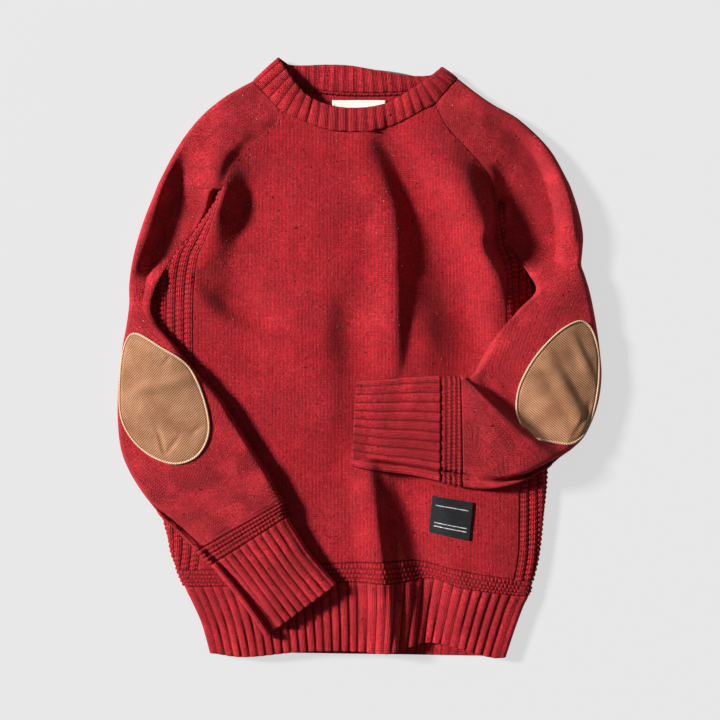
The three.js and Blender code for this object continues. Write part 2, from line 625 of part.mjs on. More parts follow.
function laidPatch(name, sheet, outline) {
  const centre = middleOf(outline);
  const grid = spread(-1, 1, 8).map((v) => spread(-1, 1, 8).map((u) => {
    const across = u * Math.sqrt(1 - v * v / 2);
    const along = v * Math.sqrt(1 - u * u / 2);
    const radius = Math.hypot(across, along);
    const rim = outlineAt(outline, Math.atan2(along, across) / (2 * Math.PI));
    const hit = onSheet(sheet, mix(centre[0], rim[0], radius), mix(centre[1], rim[1], radius));
    return hit.point.addScaledVector(hit.normal, PATCH_LIFT + CORDUROY);
  }));
  const a = new THREE.Vector3().subVectors(grid[4][5], grid[4][4]);
  const b = new THREE.Vector3().subVectors(grid[5][4], grid[4][4]);
  return wall(name, grid, CORDUROY, corduroy, { outward: Math.sign(a.cross(b).z) });
}

function piping(name, sheet, outline) {
  const centre = middleOf(outline);
  const turns = 36;
  const sides = 4;
  const path = spread(0, 1, turns).slice(0, turns).map((turn) => {
    const rim = outlineAt(outline, turn);
    const reach = Math.hypot(rim[0] - centre[0], rim[1] - centre[1]);
    const grow = (reach + PIPING_RADIUS + 0.5) / reach;
    const hit = onSheet(sheet, mix(centre[0], rim[0], grow), mix(centre[1], rim[1], grow));
    return { at: hit.point.addScaledVector(hit.normal, PIPING_RADIUS + PATCH_LIFT), up: hit.normal };
  });
  const positions = [];
  path.forEach((stop, k) => {
    const ahead = path[(k + 1) % turns].at;
    const behind = path[(k + turns - 1) % turns].at;
    const along = new THREE.Vector3().subVectors(ahead, behind).normalize();
    const side = new THREE.Vector3().crossVectors(along, stop.up).normalize();
    const up = new THREE.Vector3().crossVectors(side, along);
    for (let s = 0; s < sides; s += 1) {
      const angle = 2 * Math.PI * s / sides;
      const point = stop.at.clone()
        .addScaledVector(side, PIPING_RADIUS * Math.cos(angle))
        .addScaledVector(up, PIPING_RADIUS * Math.sin(angle));
      positions.push(point.x, point.y, point.z);
    }
  });
  const faces = [];
  for (let k = 0; k < turns; k += 1) {
    for (let s = 0; s < sides; s += 1) {
      const next = (k + 1) % turns;
      const turned = (s + 1) % sides;
      const corners = [k * sides + s, next * sides + s, next * sides + turned, k * sides + turned];
      faces.push(corners[0], corners[1], corners[2], corners[0], corners[2], corners[3]);
    }
  }
  const geometry = new THREE.BufferGeometry();
  geometry.setAttribute('position', new THREE.Float32BufferAttribute(positions, 3));
  geometry.setIndex(faces);
  const mesh = new THREE.Mesh(geometry, cord);
  mesh.name = name;
  return { mesh };
}

function hemLabel(sheet) {
  const [lowLeft, lowRight] = [HEM_LABEL[3], HEM_LABEL[2]];
  const [highLeft, highRight] = [HEM_LABEL[0], HEM_LABEL[1]];
  const grid = spread(0, 1, 5).map((v) => spread(0, 1, 5).map((u) => {
    const x = mix(mix(lowLeft[0], lowRight[0], u), mix(highLeft[0], highRight[0], u), v);
    const y = mix(mix(lowLeft[1], lowRight[1], u), mix(highLeft[1], highRight[1], u), v);
    const hit = onSheet(sheet, x, y);
    return hit.point.addScaledVector(hit.normal, 1.6);
  }));
  return wall('hem_label', grid, 0.9, blackTape);
}

function neckLabel() {
  const { left, right, low, high, thick } = NECK_LABEL;
  const geometry = new THREE.BoxGeometry(right - left, high - low, thick);
  geometry.translate((left + right) / 2, (low + high) / 2, KNIT + SEAM_GAP + thick / 2);
  const mesh = new THREE.Mesh(geometry, creamTape);
  mesh.name = 'neck_label';
  return { mesh };
}

// ---- the jumper ----
const leftArm = { stations: LEFT_ARM, backRaglan: BACK_RAGLAN_LEFT, overBody: LEFT_OVER_BODY, side: -1 };
const rightArm = { stations: RIGHT_ARM, backRaglan: BACK_RAGLAN_RIGHT, overBody: RIGHT_OVER_BODY, side: 1 };

function sleevePieces(side, arm, bandStation, cuffStation) {
  const last = arm.stations.length - 1;
  const sleeve = spread(0, bandStation, bandStation);
  const cuff = spread(cuffStation, last, 3);
  return {
    sleeve: sleeveRing(`sleeve_${side}`, arm, sleeve, KNIT, { fromSeam: false, toSeam: true }),
    band: sleeveRing(`sleeve_band_${side}`, arm, [bandStation, cuffStation], KNIT, { fromSeam: true, toSeam: true }),
    cuff: sleeveRing(`cuff_${side}`, arm, cuff, RIB, { fromSeam: true, toSeam: false }),
  };
}

const front = frontPanel();
const left = sleevePieces('left', leftArm, LEFT_BAND_STATION, LEFT_CUFF_STATION);
const right = sleevePieces('right', rightArm, RIGHT_BAND_STATION, RIGHT_CUFF_STATION);
const pieces = [
  front,
  backPanel(),
  sidePanel('side_panel_left', EDGE_LEFT, SEAM_LEFT, -1),
  sidePanel('side_panel_right', EDGE_RIGHT, SEAM_RIGHT, 1),
  hemRing('hem_band', [RIB_TOP_ROW, BAND_TOP_ROW], KNIT, false),
  hemRing('hem_rib', [0, 1.5, RIB_TOP_ROW], RIB, true),
  left.sleeve, left.band, left.cuff,
  right.sleeve, right.band, right.cuff,
  collarRing(left.sleeve, right.sleeve),
  laidPatch('patch_left', left.sleeve, LEFT_PATCH),
  laidPatch('patch_right', right.sleeve, RIGHT_PATCH),
  piping('patch_piping_left', left.sleeve, LEFT_PATCH),
  piping('patch_piping_right', right.sleeve, RIGHT_PATCH),
  hemLabel(front),
  neckLabel(),
];

const jumper = new THREE.Group();
jumper.name = 'darned_sweater';
pieces.forEach((piece) => jumper.add(piece.mesh));

export default jumper;
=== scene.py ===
"""Darned wool jumper with corduroy elbow patches, laid flat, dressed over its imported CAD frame.

Shapes are worked out in millimetres in the row frame and turned into metres as each mesh is made.
"""
import math

import bpy
import numpy as np
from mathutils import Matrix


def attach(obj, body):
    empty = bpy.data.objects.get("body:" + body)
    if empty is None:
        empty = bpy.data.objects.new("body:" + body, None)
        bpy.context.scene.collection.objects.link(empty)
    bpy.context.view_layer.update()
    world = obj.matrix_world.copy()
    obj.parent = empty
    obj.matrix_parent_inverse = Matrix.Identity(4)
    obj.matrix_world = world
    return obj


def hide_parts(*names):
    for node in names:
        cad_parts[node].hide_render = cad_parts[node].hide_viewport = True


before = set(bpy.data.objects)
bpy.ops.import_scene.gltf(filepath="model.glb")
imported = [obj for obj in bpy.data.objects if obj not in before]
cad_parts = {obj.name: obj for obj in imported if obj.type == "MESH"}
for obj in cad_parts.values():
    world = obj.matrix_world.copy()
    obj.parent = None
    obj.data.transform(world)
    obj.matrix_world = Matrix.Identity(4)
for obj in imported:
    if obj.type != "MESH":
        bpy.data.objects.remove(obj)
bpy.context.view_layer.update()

MM = 0.001

# ---- driving sizes ----
KNIT = 2.6
RIB = 2.8
CORDUROY = 1.4
SEAM_GAP = 0.12
LAID_GAP = 3.0
FOLD_HEIGHT = 6.0
FOLD_ROUND = 9.0
ARMPIT_FOLD = 9.5
TUCKED_EDGE = 2.8
SLEEVE_EDGE = 5.5
SLEEVE_ROUND = 7.0
SIDE_THICK = 13.0
BODY_HIGH = 21.0
HEM_HIGH = 17.0
NECK_HIGH = 18.0
BRIDGE = 24.0
HEM_Y = -338
SHOULDER_Y = 215
UNDERARM_Y = 120
NEAR_FOLD = 14
LAYER_STEP = 3
RELIEF_ABOVE = 3
COLLAR_TALL = 28
PATCH_LIFT = 0.7
LABEL_LIFT = 1.7
CORD_RADIUS = 1.25
CORD_LIFT = 1.5
CORD_OUT = 0.8

# ---- wool colours ----
WOOL = (0.61, 0.016, 0.03, 1)
WOOL_LIGHT = (0.66, 0.026, 0.036, 1)
# pale wool: real wear on the tufts, also used as painted sheen
WOOL_WEAR_AND_SHEEN = (0.80, 0.065, 0.08, 1)
WOOL_DEEP = (0.13, 0.0015, 0.004, 1)
# painted shade for rib and bead grooves, small holes and the holes beside the raglan seams
WOOL_PAINTED_SHADE = (0.085, 0.001, 0.003, 1)
WOOL_PILL = (0.75, 0.15, 0.16, 1)
STRIPE_THREAD = (0.6, 0.6, 0.58, 1)

# ---- stitch sizes ----
RIB_PITCH = 10.0
PLAIN_COLUMN = 3.1
PLAIN_ROW = 2.3
CHUNKY_COLUMN = 10.4
CHUNKY_BEAD = 5.6
HEM_RIBS = 36
CUFF_RIBS = 10.5
COLLAR_RIB = 11.0
GARTER_ROWS = 4
GARTER_BEAD = 4.4
RIB_DEPTH = 3.4
CUFF_DEPTH = 3.6
GARTER_DEPTH = 2.4
CHUNKY_DEPTH = 3.2

# ---- light: degrees above the table, degrees turned from the left side toward the neck ----
KEY_HEIGHT = 30.0
KEY_TURN = 17.0
KEY_SOFTNESS = 9.0
KEY_STRENGTH = 7.9
ROOM_STRENGTH = 0.16
# floor glow: painted light on the open floor
FLOOR_GLOW = 0.64
FLOOR_PAINT = 0.1
FLOOR_HALF = 4.0
FLOOR_DROP = 0.0005
CAMERA_PLACE = (0.0005, -0.0018, 1.94)
CAMERA_LENS = 85

# ---- plan of the body: rows run from the hem (0) to the neck (17) ----
RIB_TOP_ROW = 3
BAND_TOP_ROW = 4
UNDERARM_ROW = 12
NECK_ROW = 17
RAGLAN_ROWS = NECK_ROW - UNDERARM_ROW
BAND_FADE_ROWS = 3
SEAM_ROWS = 0.01
EDGE_LEFT = np.array([
    [-171, -334], [-180, -302], [-191, -277], [-200, -259], [-208, -240], [-218, -205], [-234, -120],
    [-237, -30], [-238, 60], [-214, 111], [-192, 138], [-172, 168], [-163, 192],
], float)
EDGE_RIGHT = np.array([
    [167, -339], [177, -309], [187, -282], [193, -270], [197, -253], [205, -215], [213, -130],
    [210, -40], [200, 50], [189, 98], [166, 128], [163, 155], [162, 178],
], float)
SEAM_LEFT = np.array([
    [-183, -240], [-180, -205], [-183, -120], [-187, -30], [-188, 60], [-184, 111], [-173, 138],
    [-162, 168], [-155, 192], [-144, 220], [-125, 241], [-107, 256], [-96, 267], [-90, 281],
], float)
SEAM_RIGHT = np.array([
    [176, -253], [181, -215], [181, -130], [173, -40], [166, 50], [165, 98], [156, 128],
    [154, 155], [152, 178], [147, 206], [125, 233], [104, 255], [95, 268], [86, 287],
], float)
BACK_RAGLAN_LEFT = np.array([
    [-155, 192], [-144, 224], [-128, 250], [-112, 274], [-101, 294], [-95, 311],
], float)
BACK_RAGLAN_RIGHT = np.array([
    [152, 178], [146, 212], [127, 244], [108, 271], [98, 292], [90, 312],
], float)

HEM_LINE = np.array([
    [-171, -334], [-132, -338], [-66, -332], [-20, -331], [30, -333], [56, -327], [78, -323], [110, -328],
    [150, -339], [167, -339],
], float)
RIB_TOP_LINE = np.array([
    [-200, -259], [-100, -256], [-15, -253], [40, -254], [84, -250], [112, -259], [160, -267], [193, -270],
], float)
BAND_TOP_LINE = np.array([
    [-208, -240], [-110, -236], [-20, -231], [40, -229], [70, -230], [100, -237], [140, -245], [197, -253],
], float)
NECK_LINE = np.array([
    [-90, 281], [-68, 270], [-43, 260], [-17, 256], [11, 256], [36, 262], [56, 271], [74, 281], [86, 287],
], float)
BACK_NECK_LINE = np.array([
    [-95, 311], [-64, 308], [-40, 305], [-11, 303], [23, 303], [45, 304], [68, 307], [90, 312],
], float)

# ---- soft folds: points (x, y, height), then reach to the right and to the left of the line's travel ----
BODY_FOLDS = [
    ([(22, 262, 0), (38, 236, -8), (56, 201, -12), (72, 167, -13), (86, 133, -13), (97, 99, -14),
      (108, 65, -16), (121, 32, -15), (134, 0, -10), (142, -28, 0)], 56, 34),
    ([(2, 262, 0), (9, 235, 7), (24, 201, 10), (36, 167, 12), (39, 133, 12), (38, 99, 13), (37, 65, 14),
      (34, 32, 14), (31, 0, 12), (20, -40, 6), (10, -80, 0)], 36, 24),
    ([(48, 268, 0), (76, 240, 13), (101, 210, 23), (121, 178, 31), (134, 150, 33), (144, 122, 31),
      (152, 95, 25), (158, 65, 16), (162, 32, 9), (160, -10, 4), (158, -60, 0)], 36, 42),
    ([(-114, 240, 0), (-119, 213, -9), (-123, 180, -13), (-126, 145, -13), (-130, 110, -11),
      (-120, 80, -7), (-106, 55, -3), (-96, 40, 0)], 46, 74),
    ([(-138, 232, 0), (-149, 208, 10), (-157, 188, 17), (-163, 168, 17), (-169, 148, 11), (-177, 122, 5),
      (-183, 98, 0)], 20, 36),
    ([(44, 95, 0), (46, 62, 5), (48, 30, 9), (48, 0, 10), (44, -30, 9), (34, -70, 0)], 22, 78),
    ([(-184, 100, 0), (-168, 82, -10), (-152, 67, -16), (-136, 56, -16), (-118, 48, -13), (-96, 42, -6),
      (-74, 38, 0)], 24, 44),
    ([(-52, 110, 0), (-50, 80, 4), (-48, 50, 9), (-47, 10, 13), (-46, -20, 13), (-44, -50, 11),
      (-42, -85, 7), (-40, -125, 0)], 98, 62),
    ([(-14, 110, 0), (-12, 75, -3), (-14, 40, -5), (-16, 0, -3), (-16, -30, 0)], 26, 26),
    ([(4, -90, 0), (8, -125, 7), (14, -160, 11), (20, -205, 13), (28, -262, 13), (36, -338, 10)], 30, 18),
    ([(40, -105, 0), (48, -150, -9), (62, -205, -12), (74, -262, -12), (80, -338, -9)], 26, 46),
]
LEFT_SLEEVE_FOLDS = [
    ([(-116, 290, 0), (-134, 262, 2), (-147, 236, 4), (-156, 212, 4), (-162, 192, 0)], 36, 28),
    ([(-186, 240, 0), (-196, 215, -11), (-205, 190, -18), (-212, 160, -20), (-220, 130, -17),
      (-231, 105, -10), (-243, 85, 0)], 22, 44),
]
RIGHT_SLEEVE_FOLDS = [
    ([(140, 272, 0), (172, 252, -8), (195, 230, -14), (208, 200, -18), (213, 170, -21), (216, 140, -21),
      (219, 118, -14), (220, 98, 0)], 66, 15),
    ([(148, 216, 0), (164, 200, -7), (180, 176, -11), (189, 146, -11), (198, 120, -6),
      (202, 98, 0)], 28, 30),
    ([(216, 235, 0), (229, 205, 5), (236, 175, 7), (239, 145, 7), (240, 118, 0)], 14, 12),
    ([(116, -18, 0), (134, -44, 4), (151, -62, 6), (170, -80, 7), (192, -96, 6), (214, -107, 3),
      (232, -114, 0)], 55, 15),
    ([(134, -8, 0), (151, -36, -7), (169, -54, -10), (189, -72, -10), (211, -89, -6),
      (230, -100, 0)], 15, 46),
]

# ---- sleeves: stations down the arm, the first six on the raglan seam ----
# outer end x, y, inner end x, y, height by the outer fold, by the inner end, swell, under layer showing
RAGLAN_STATIONS = 5
LEFT_ARM = np.array([
    [-122, 315, -90, 281, 15, 18, 1, 0], [-137, 307, -96, 267, 16, 18, 2, 0],
    [-158, 294, -107, 256, 17, 18, 3, 0], [-182, 273, -125, 241, 18, 18, 5, 0],
    [-205, 243, -144, 220, 20, 18, 5, 0], [-226, 204, -155, 192, 22, 13, 4, 0],
    [-233, 187, -162.6, 190, 24, 24, 2, 0], [-243, 162, -171.2, 167, 25, 15, 1, 0],
    [-252, 135, -190.6, 139, 25, 8, 0, 0], [-259, 106, -213.6, 110, 23, 8, 0, 0],
    [-262, 82, -228, 85, 20, 13, 1, 0], [-262, 62, -236, 58, 18, 18, 2, 0],
    [-265, 38, -228, 38, 18, 27, 4, 0], [-270, 10, -208, 16, 18, 34, 5, 0],
    [-274, -28, -184, -14, 19, 38, 6, 0], [-275, -69, -158, -42, 18, 40, 6, 0],
    [-270, -108, -140, -70, 18, 41, 6, 0], [-253, -143, -122, -98, 21, 41, 5, 1],
    [-228, -173, -105, -125, 25, 41, 4, 4], [-205, -196, -93, -146, 28, 41, 3, 9],
    [-184, -217, -85, -160, 29, 40, 2, 12], [-168, -233, -82, -178, 29, 39, 2, 13],
    [-150, -254, -70, -199, 29, 38, 2, 14], [-135, -273, -57, -219, 29, 37, 2, 15],
    [-120, -294, -41, -238, 29, 37, 2, 17], [-107, -314, -27, -254, 28, 36, 1, 18],
], float)
LEFT_BAND_STATION = 20
LEFT_CUFF_STATION = 21
RIGHT_ARM = np.array([
    [112, 318, 86, 287, 15, 18, 1, 0], [134, 301, 95, 268, 16, 18, 2, 0],
    [153, 288, 104, 255, 17, 18, 3, 0], [182, 271, 125, 233, 18, 18, 4, 0],
    [215, 239, 147, 206, 20, 18, 4, 0], [236, 203, 152.4, 178.5, 21, 13, 4, 0],
    [243, 186, 161.6, 178, 22, 18, 1, 0], [250, 163, 162, 154, 23, 12, 0, 0],
    [254, 140, 165.5, 128, 24, 8, 0, 0], [253, 120, 181.5, 110, 25, 9, 1, 0],
    [252, 106, 191, 95, 25, 24, 2, 0], [256, 94, 199, 76, 25, 33, 3, 0],
    [262, 74, 178, 54, 24, 37, 6, 0], [268, 44, 157, 30, 22, 38, 8, 0], [273, 10, 141, 6, 21, 39, 9, 0],
    [275, -22, 131, -13, 21, 38, 9, 0], [270, -55, 126, -18.5, 21, 37, 9, 0],
    [257, -86, 123, -21, 24, 37, 8, 0], [242, -102, 121, -22.5, 29, 38, 8, 0],
    [227, -112, 119.5, -23, 35, 43, 8, 3], [212, -123, 118, -22.5, 39, 47, 7, 5],
    [186, -138, 116.5, -21.5, 40, 46, 7, 8], [150, -147, 115, -20.5, 37, 44, 6, 12],
    [116, -144.5, 113, -20, 35, 43, 6, 15], [91, -139, 91, -21, 34, 42, 5, 14],
    [60, -132.5, 59, -22.5, 34, 42, 5, 13], [26, -128, 26, -25, 34, 41, 4, 14],
    [-9, -121, -4, -27, 34, 40, 3, 10],
], float)
RIGHT_BAND_STATION = 23
RIGHT_CUFF_STATION = 24
SEAM_STATIONS = 0.015
OVER_BODY = (8.7, 10)

LEFT_PATCH = np.array([
    [-253, 27], [-266, 9], [-270, -30], [-268, -66], [-254, -92], [-231, -110], [-205, -117], [-181, -107],
    [-169, -80], [-176, -42], [-193, -9], [-222, 11],
], float)
RIGHT_PATCH = np.array([
    [249, 41], [229, 33], [208, 14], [190, -10], [179, -36], [178, -66], [192, -86], [218, -93], [240, -94],
    [257, -77], [267, -40], [269, 0], [262, 30],
], float)
LEFT_CREASES = [
    ([(-205, 12, 0), (-213, 2, -1.1), (-224, -12, 0)], 3, 5),
    ([(-231, -72, 0), (-224, -88, -1.2), (-218, -106, -1.2), (-205, -92, -1.1), (-198, -80, 0)], 4, 6),
    ([(-262, -50, 0), (-246, -34, 1.6), (-222, -30, 1.8), (-196, -24, 1.4), (-180, -22, 0)], 12, 10),
    ([(-190, -88, 0), (-182, -80, -1.1), (-172, -73, 0)], 4, 6),
]
RIGHT_CREASES = [
    ([(206, 8, 0), (218, -14, 2.6), (236, -44, 3.4), (250, -72, 2.4), (258, -88, 0)], 15, 13),
    ([(236, -92, 0), (247, -78, -1.2), (256, -60, -1.2), (262, -44, 0)], 7, 6),
    ([(236, 34, 0), (246, 10, 1.8), (258, -14, 1.4), (266, -34, 0)], 11, 8),
]
HEM_LABEL = [(78, -197), (124.5, -206), (82, -155), (129, -163)]
NECK_LABEL = (-31, 30, 268, 294)

# free edge of the collar: x, y, height, from the back of the left shoulder round by the front
COLLAR_FREE = np.array([
    [-80, 334, 1.5], [-87, 339, 3], [-92, 342, 9], [-89, 336, 15], [-80, 323, 19], [-70, 309, 20],
    [-58, 297, 20], [-40, 288, 20], [-17, 283.5, 20], [9, 284, 20], [32, 289, 20], [49, 298, 20],
    [63, 307, 20], [70, 311, 20], [80, 319, 19], [88, 326, 15], [93, 331, 9], [89, 326, 3],
    [79, 321, 1.5], [62, 320.5, 1], [43, 323, 1], [20, 327.5, 1], [-11, 333, 1], [-38, 334, 1],
    [-64, 333, 1],
], float)


# ---- curves ----
def mix(a, b, t):
    return a + (b - a) * t


def ease(t):
    t = np.clip(t, 0, 1)
    return t * t * (3 - 2 * t)


def spline(points, at):
    """Catmull-Rom through points, at any array of positions counted in points."""
    points = np.asarray(points, float)
    last = len(points) - 1
    at = np.clip(np.asarray(at, float), 0, last)
    index = np.minimum(last - 1, np.floor(at).astype(int))
    t = (at - index)[..., None]
    before = points[np.maximum(0, index - 1)]
    start = points[index]
    end = points[index + 1]
    after = points[np.minimum(last, index + 2)]
    slope_in = (end - before) / 2
    slope_out = (after - start) / 2
    rise = end - start
    cubic = slope_in + slope_out - 2 * rise
    square = 3 * rise - 2 * slope_in - slope_out
    return start + t * (slope_in + t * (square + t * cubic))


def loop_spline(points, turn):
    """The same, round a closed outline; turn runs from 0 to 1."""
    count = len(points)
    at = np.mod(turn, 1) * count
    return spline(np.concatenate([points[-2:], points, points[:3]]), at + 2)


def line_height(line, x):
    x = np.clip(x, line[0, 0], line[-1, 0])
    at = np.interp(x, line[:, 0], np.arange(len(line)))
    return spline(line, at)[..., 1]


def sampled(points, steps_each):
    count = (len(points) - 1) * steps_each
    return spline(points, np.arange(count + 1) / steps_each)


def nearest(chain, x, y):
    """Distance to a chain of points, side (left of travel is positive) and third value there."""
    distance = np.full(x.shape, np.inf)
    side = np.ones(x.shape)
    value = np.zeros(x.shape)
    for start, end in zip(chain[:-1], chain[1:]):
        ax, ay = start[:2]
        bx, by = end[:2]
        length2 = (bx - ax) ** 2 + (by - ay) ** 2
        t = np.clip(((x - ax) * (bx - ax) + (y - ay) * (by - ay)) / length2, 0, 1)
        away = np.hypot(x - mix(ax, bx, t), y - mix(ay, by, t))
        closer = away < distance
        cross = (bx - ax) * (y - ay) - (by - ay) * (x - ax)
        distance = np.where(closer, away, distance)
        side = np.where(closer, np.where(cross < 0, -1.0, 1.0), side)
        if len(start) > 2:
            value = np.where(closer, mix(start[2], end[2], t), value)
    return distance, side, value


def fold_height(folds, x, y):
    total = np.zeros(x.shape)
    for line, reach_right, reach_left in folds:
        distance, side, value = nearest(sampled(line, 6), x, y)
        reach = np.where(side > 0, reach_left, reach_right)
        wave = 0.5 * (1 + np.cos(math.pi * np.minimum(1, distance / reach)))
        total += value * wave
    return total


def ripple(x, y):
    """Small unevenness of worn cloth, about half a millimetre."""
    return (0.35 * np.sin(x / 13 + 1.3 * np.sin(y / 31)) * np.sin(y / 17 + 0.8 * np.sin(x / 23))
            + 0.2 * np.sin(x / 6.1 + y / 9.7) * np.sin(y / 7.3 - x / 11))


# ---- the body's surface ----
edge_left = sampled(EDGE_LEFT, 4)
edge_right = sampled(EDGE_RIGHT, 4)


def inside_body(x, y):
    """Distance in from the nearer side fold, negative outside it."""
    left, left_side, _ = nearest(edge_left, x, y)
    right, right_side, _ = nearest(edge_right, x, y)
    from_left = np.where(y > EDGE_LEFT[-1, 1], left, -left * left_side)
    from_right = np.where(y > EDGE_RIGHT[-1, 1], right, right * right_side)
    return np.where(left < right, from_left, from_right)


def body_cloth(x, y, inside):
    hem = mix(HEM_HIGH, BODY_HIGH, ease((y - HEM_Y) / 110))
    high = mix(hem, NECK_HIGH, ease((y - SHOULDER_Y) / 75))
    folds = fold_height(BODY_FOLDS, x, y) + ripple(x, y)
    settle = mix(34, 12, ease((y - UNDERARM_Y) / 50))
    return mix(SIDE_THICK, high, ease(inside / 60)) + folds * ease(inside / settle)


def turn_over(inside, reach):
    return np.sqrt(1 - (1 - np.clip(inside / reach, 0, 1)) ** 2)


def side_fold_height(y):
    """The side folds stand a little higher by the armpits, where the sleeves tuck under them."""
    return mix(FOLD_HEIGHT, ARMPIT_FOLD, ease((y - 60) / 40))


def body_top(x, y):
    inside = np.maximum(0, inside_body(x, y))
    return mix(side_fold_height(y), body_cloth(x, y, inside), turn_over(inside, FOLD_ROUND))


def body_under(x, y):
    inside = np.maximum(0, inside_body(x, y))
    return side_fold_height(y) * (1 - turn_over(inside, FOLD_ROUND))


def lay_upon(x, y):
    """What a sleeve lies on: the front of the body, stepping down to the table outside it."""
    inside = inside_body(x, y)
    on_body = body_cloth(x, y, np.maximum(0, inside)) + LAID_GAP
    beside = (SIDE_THICK + LAID_GAP) * (1 - ease(-inside / BRIDGE))
    return np.where(inside >= 0, on_body, beside)


# ---- rows across the body ----
def row_ends(row):
    if row <= UNDERARM_ROW:
        return spline(EDGE_LEFT, row), spline(EDGE_RIGHT, row)
    return spline(SEAM_LEFT, row - BAND_TOP_ROW), spline(SEAM_RIGHT, row - BAND_TOP_ROW)


def straight_row(row, x):
    left, right = row_ends(row)
    return mix(left[1], right[1], (x - left[0]) / (right[0] - left[0]))


def row_y(row, x):
    def off(line, line_row):
        return line_height(line, x) - straight_row(line_row, x)

    flat = straight_row(row, x)
    if row <= RIB_TOP_ROW:
        return flat + mix(off(HEM_LINE, 0), off(RIB_TOP_LINE, RIB_TOP_ROW), row / RIB_TOP_ROW)
    if row <= BAND_TOP_ROW:
        return flat + mix(off(RIB_TOP_LINE, RIB_TOP_ROW), off(BAND_TOP_LINE, BAND_TOP_ROW), row - RIB_TOP_ROW)
    if row < BAND_TOP_ROW + BAND_FADE_ROWS:
        return flat + off(BAND_TOP_LINE, BAND_TOP_ROW) * (1 - ease((row - BAND_TOP_ROW) / BAND_FADE_ROWS))
    if row <= UNDERARM_ROW:
        return flat
    dip = off(NECK_LINE, NECK_ROW) * ((row - UNDERARM_ROW) / RAGLAN_ROWS) ** 2
    return flat + np.where((x < NECK_LINE[0, 0]) | (x > NECK_LINE[-1, 0]), 0, dip)


def row_list(first, last, step):
    """Rows from first to last, about a step apart on the ground."""
    rows = [first]
    whole = list(range(math.floor(first) + 1, math.ceil(last)))
    for start, end in zip([first, *whole], [*whole, last]):
        a, b = row_ends(start), row_ends(end)
        reach = max(math.dist(a[0], b[0]), math.dist(a[1], b[1]))
        count = max(2, math.ceil(reach / step))
        rows += [mix(start, end, k / count) for k in range(1, count + 1)]
    return rows


# ---- meshes ----
def grid_normals(grid, outward, closed_from=None):
    ahead = grid[1:, 1:] - grid[:-1, :-1]
    across = grid[1:, :-1] - grid[:-1, 1:]
    face = np.cross(ahead, across) * outward
    normals = np.zeros_like(grid)
    normals[:-1, :-1] += face
    normals[:-1, 1:] += face
    normals[1:, :-1] += face
    normals[1:, 1:] += face
    if closed_from is not None:
        shared = normals[closed_from:, 0] + normals[closed_from:, -1]
        normals[closed_from:, 0] = shared
        normals[closed_from:, -1] = shared
    length = np.linalg.norm(normals, axis=2, keepdims=True)
    return normals / np.maximum(length, 1e-12)


def distances(grid, axis):
    """Running length along the grid's rows or columns, for cloth coordinates."""
    steps = np.linalg.norm(np.diff(grid, axis=axis), axis=2)
    start = np.zeros_like(np.take(steps, [0], axis=axis))
    return np.concatenate([start, np.cumsum(steps, axis=axis)], axis=axis)


def make_object(name, points, faces, uvs, material):
    mesh = bpy.data.meshes.new(name)
    mesh.from_pydata((points * MM).tolist(), [], faces.tolist())
    mesh.polygons.foreach_set("use_smooth", np.ones(len(faces), bool))
    layer = mesh.uv_layers.new(name="cloth")
    layer.data.foreach_set("uv", (uvs[faces.ravel()] * MM).ravel())
    mesh.materials.append(material)
    mesh.update()
    piece = bpy.data.objects.new(name, mesh)
    bpy.context.scene.collection.objects.link(piece)
    return piece


def cloth_wall(name, grid, thickness, material, uv, outward=1, closed_from=None, relief=None, lining=None):
    """A closed wall of cloth: the grid is its outer face, relief swells it, lining swells the inner."""
    normals = grid_normals(grid, outward, closed_from)
    outer = grid.copy()
    if relief is not None:
        outer += normals * relief[..., None]
    inner = grid - normals * thickness
    if lining is not None:
        inner -= normals * lining[..., None]
    outer[..., 2] = np.maximum(outer[..., 2], 0)
    rows, columns = grid.shape[:2]
    index = np.arange(rows * columns).reshape(rows, columns)
    quads = np.stack([index[:-1, :-1], index[:-1, 1:], index[1:, 1:], index[1:, :-1]], axis=-1).reshape(-1, 4)
    shift = rows * columns
    sides = []
    for strip in (index[0, ::-1], index[-1], index[:, 0], index[::-1, -1]):
        sides.append(np.stack([strip[:-1], strip[1:], strip[1:] + shift, strip[:-1] + shift], axis=-1))
    faces = np.concatenate([quads, quads[:, ::-1] + shift, *sides])
    if outward < 0:
        faces = faces[:, ::-1]
    points = np.concatenate([outer.reshape(-1, 3), inner.reshape(-1, 3)])
    both = np.concatenate([uv.reshape(-1, 2), uv.reshape(-1, 2)])
    return make_object(name, points, faces, both, material)


def lobes(at):
    """Rounded ridges with narrow grooves, one for each whole number."""
    return np.abs(np.sin(math.pi * at)) ** 0.45


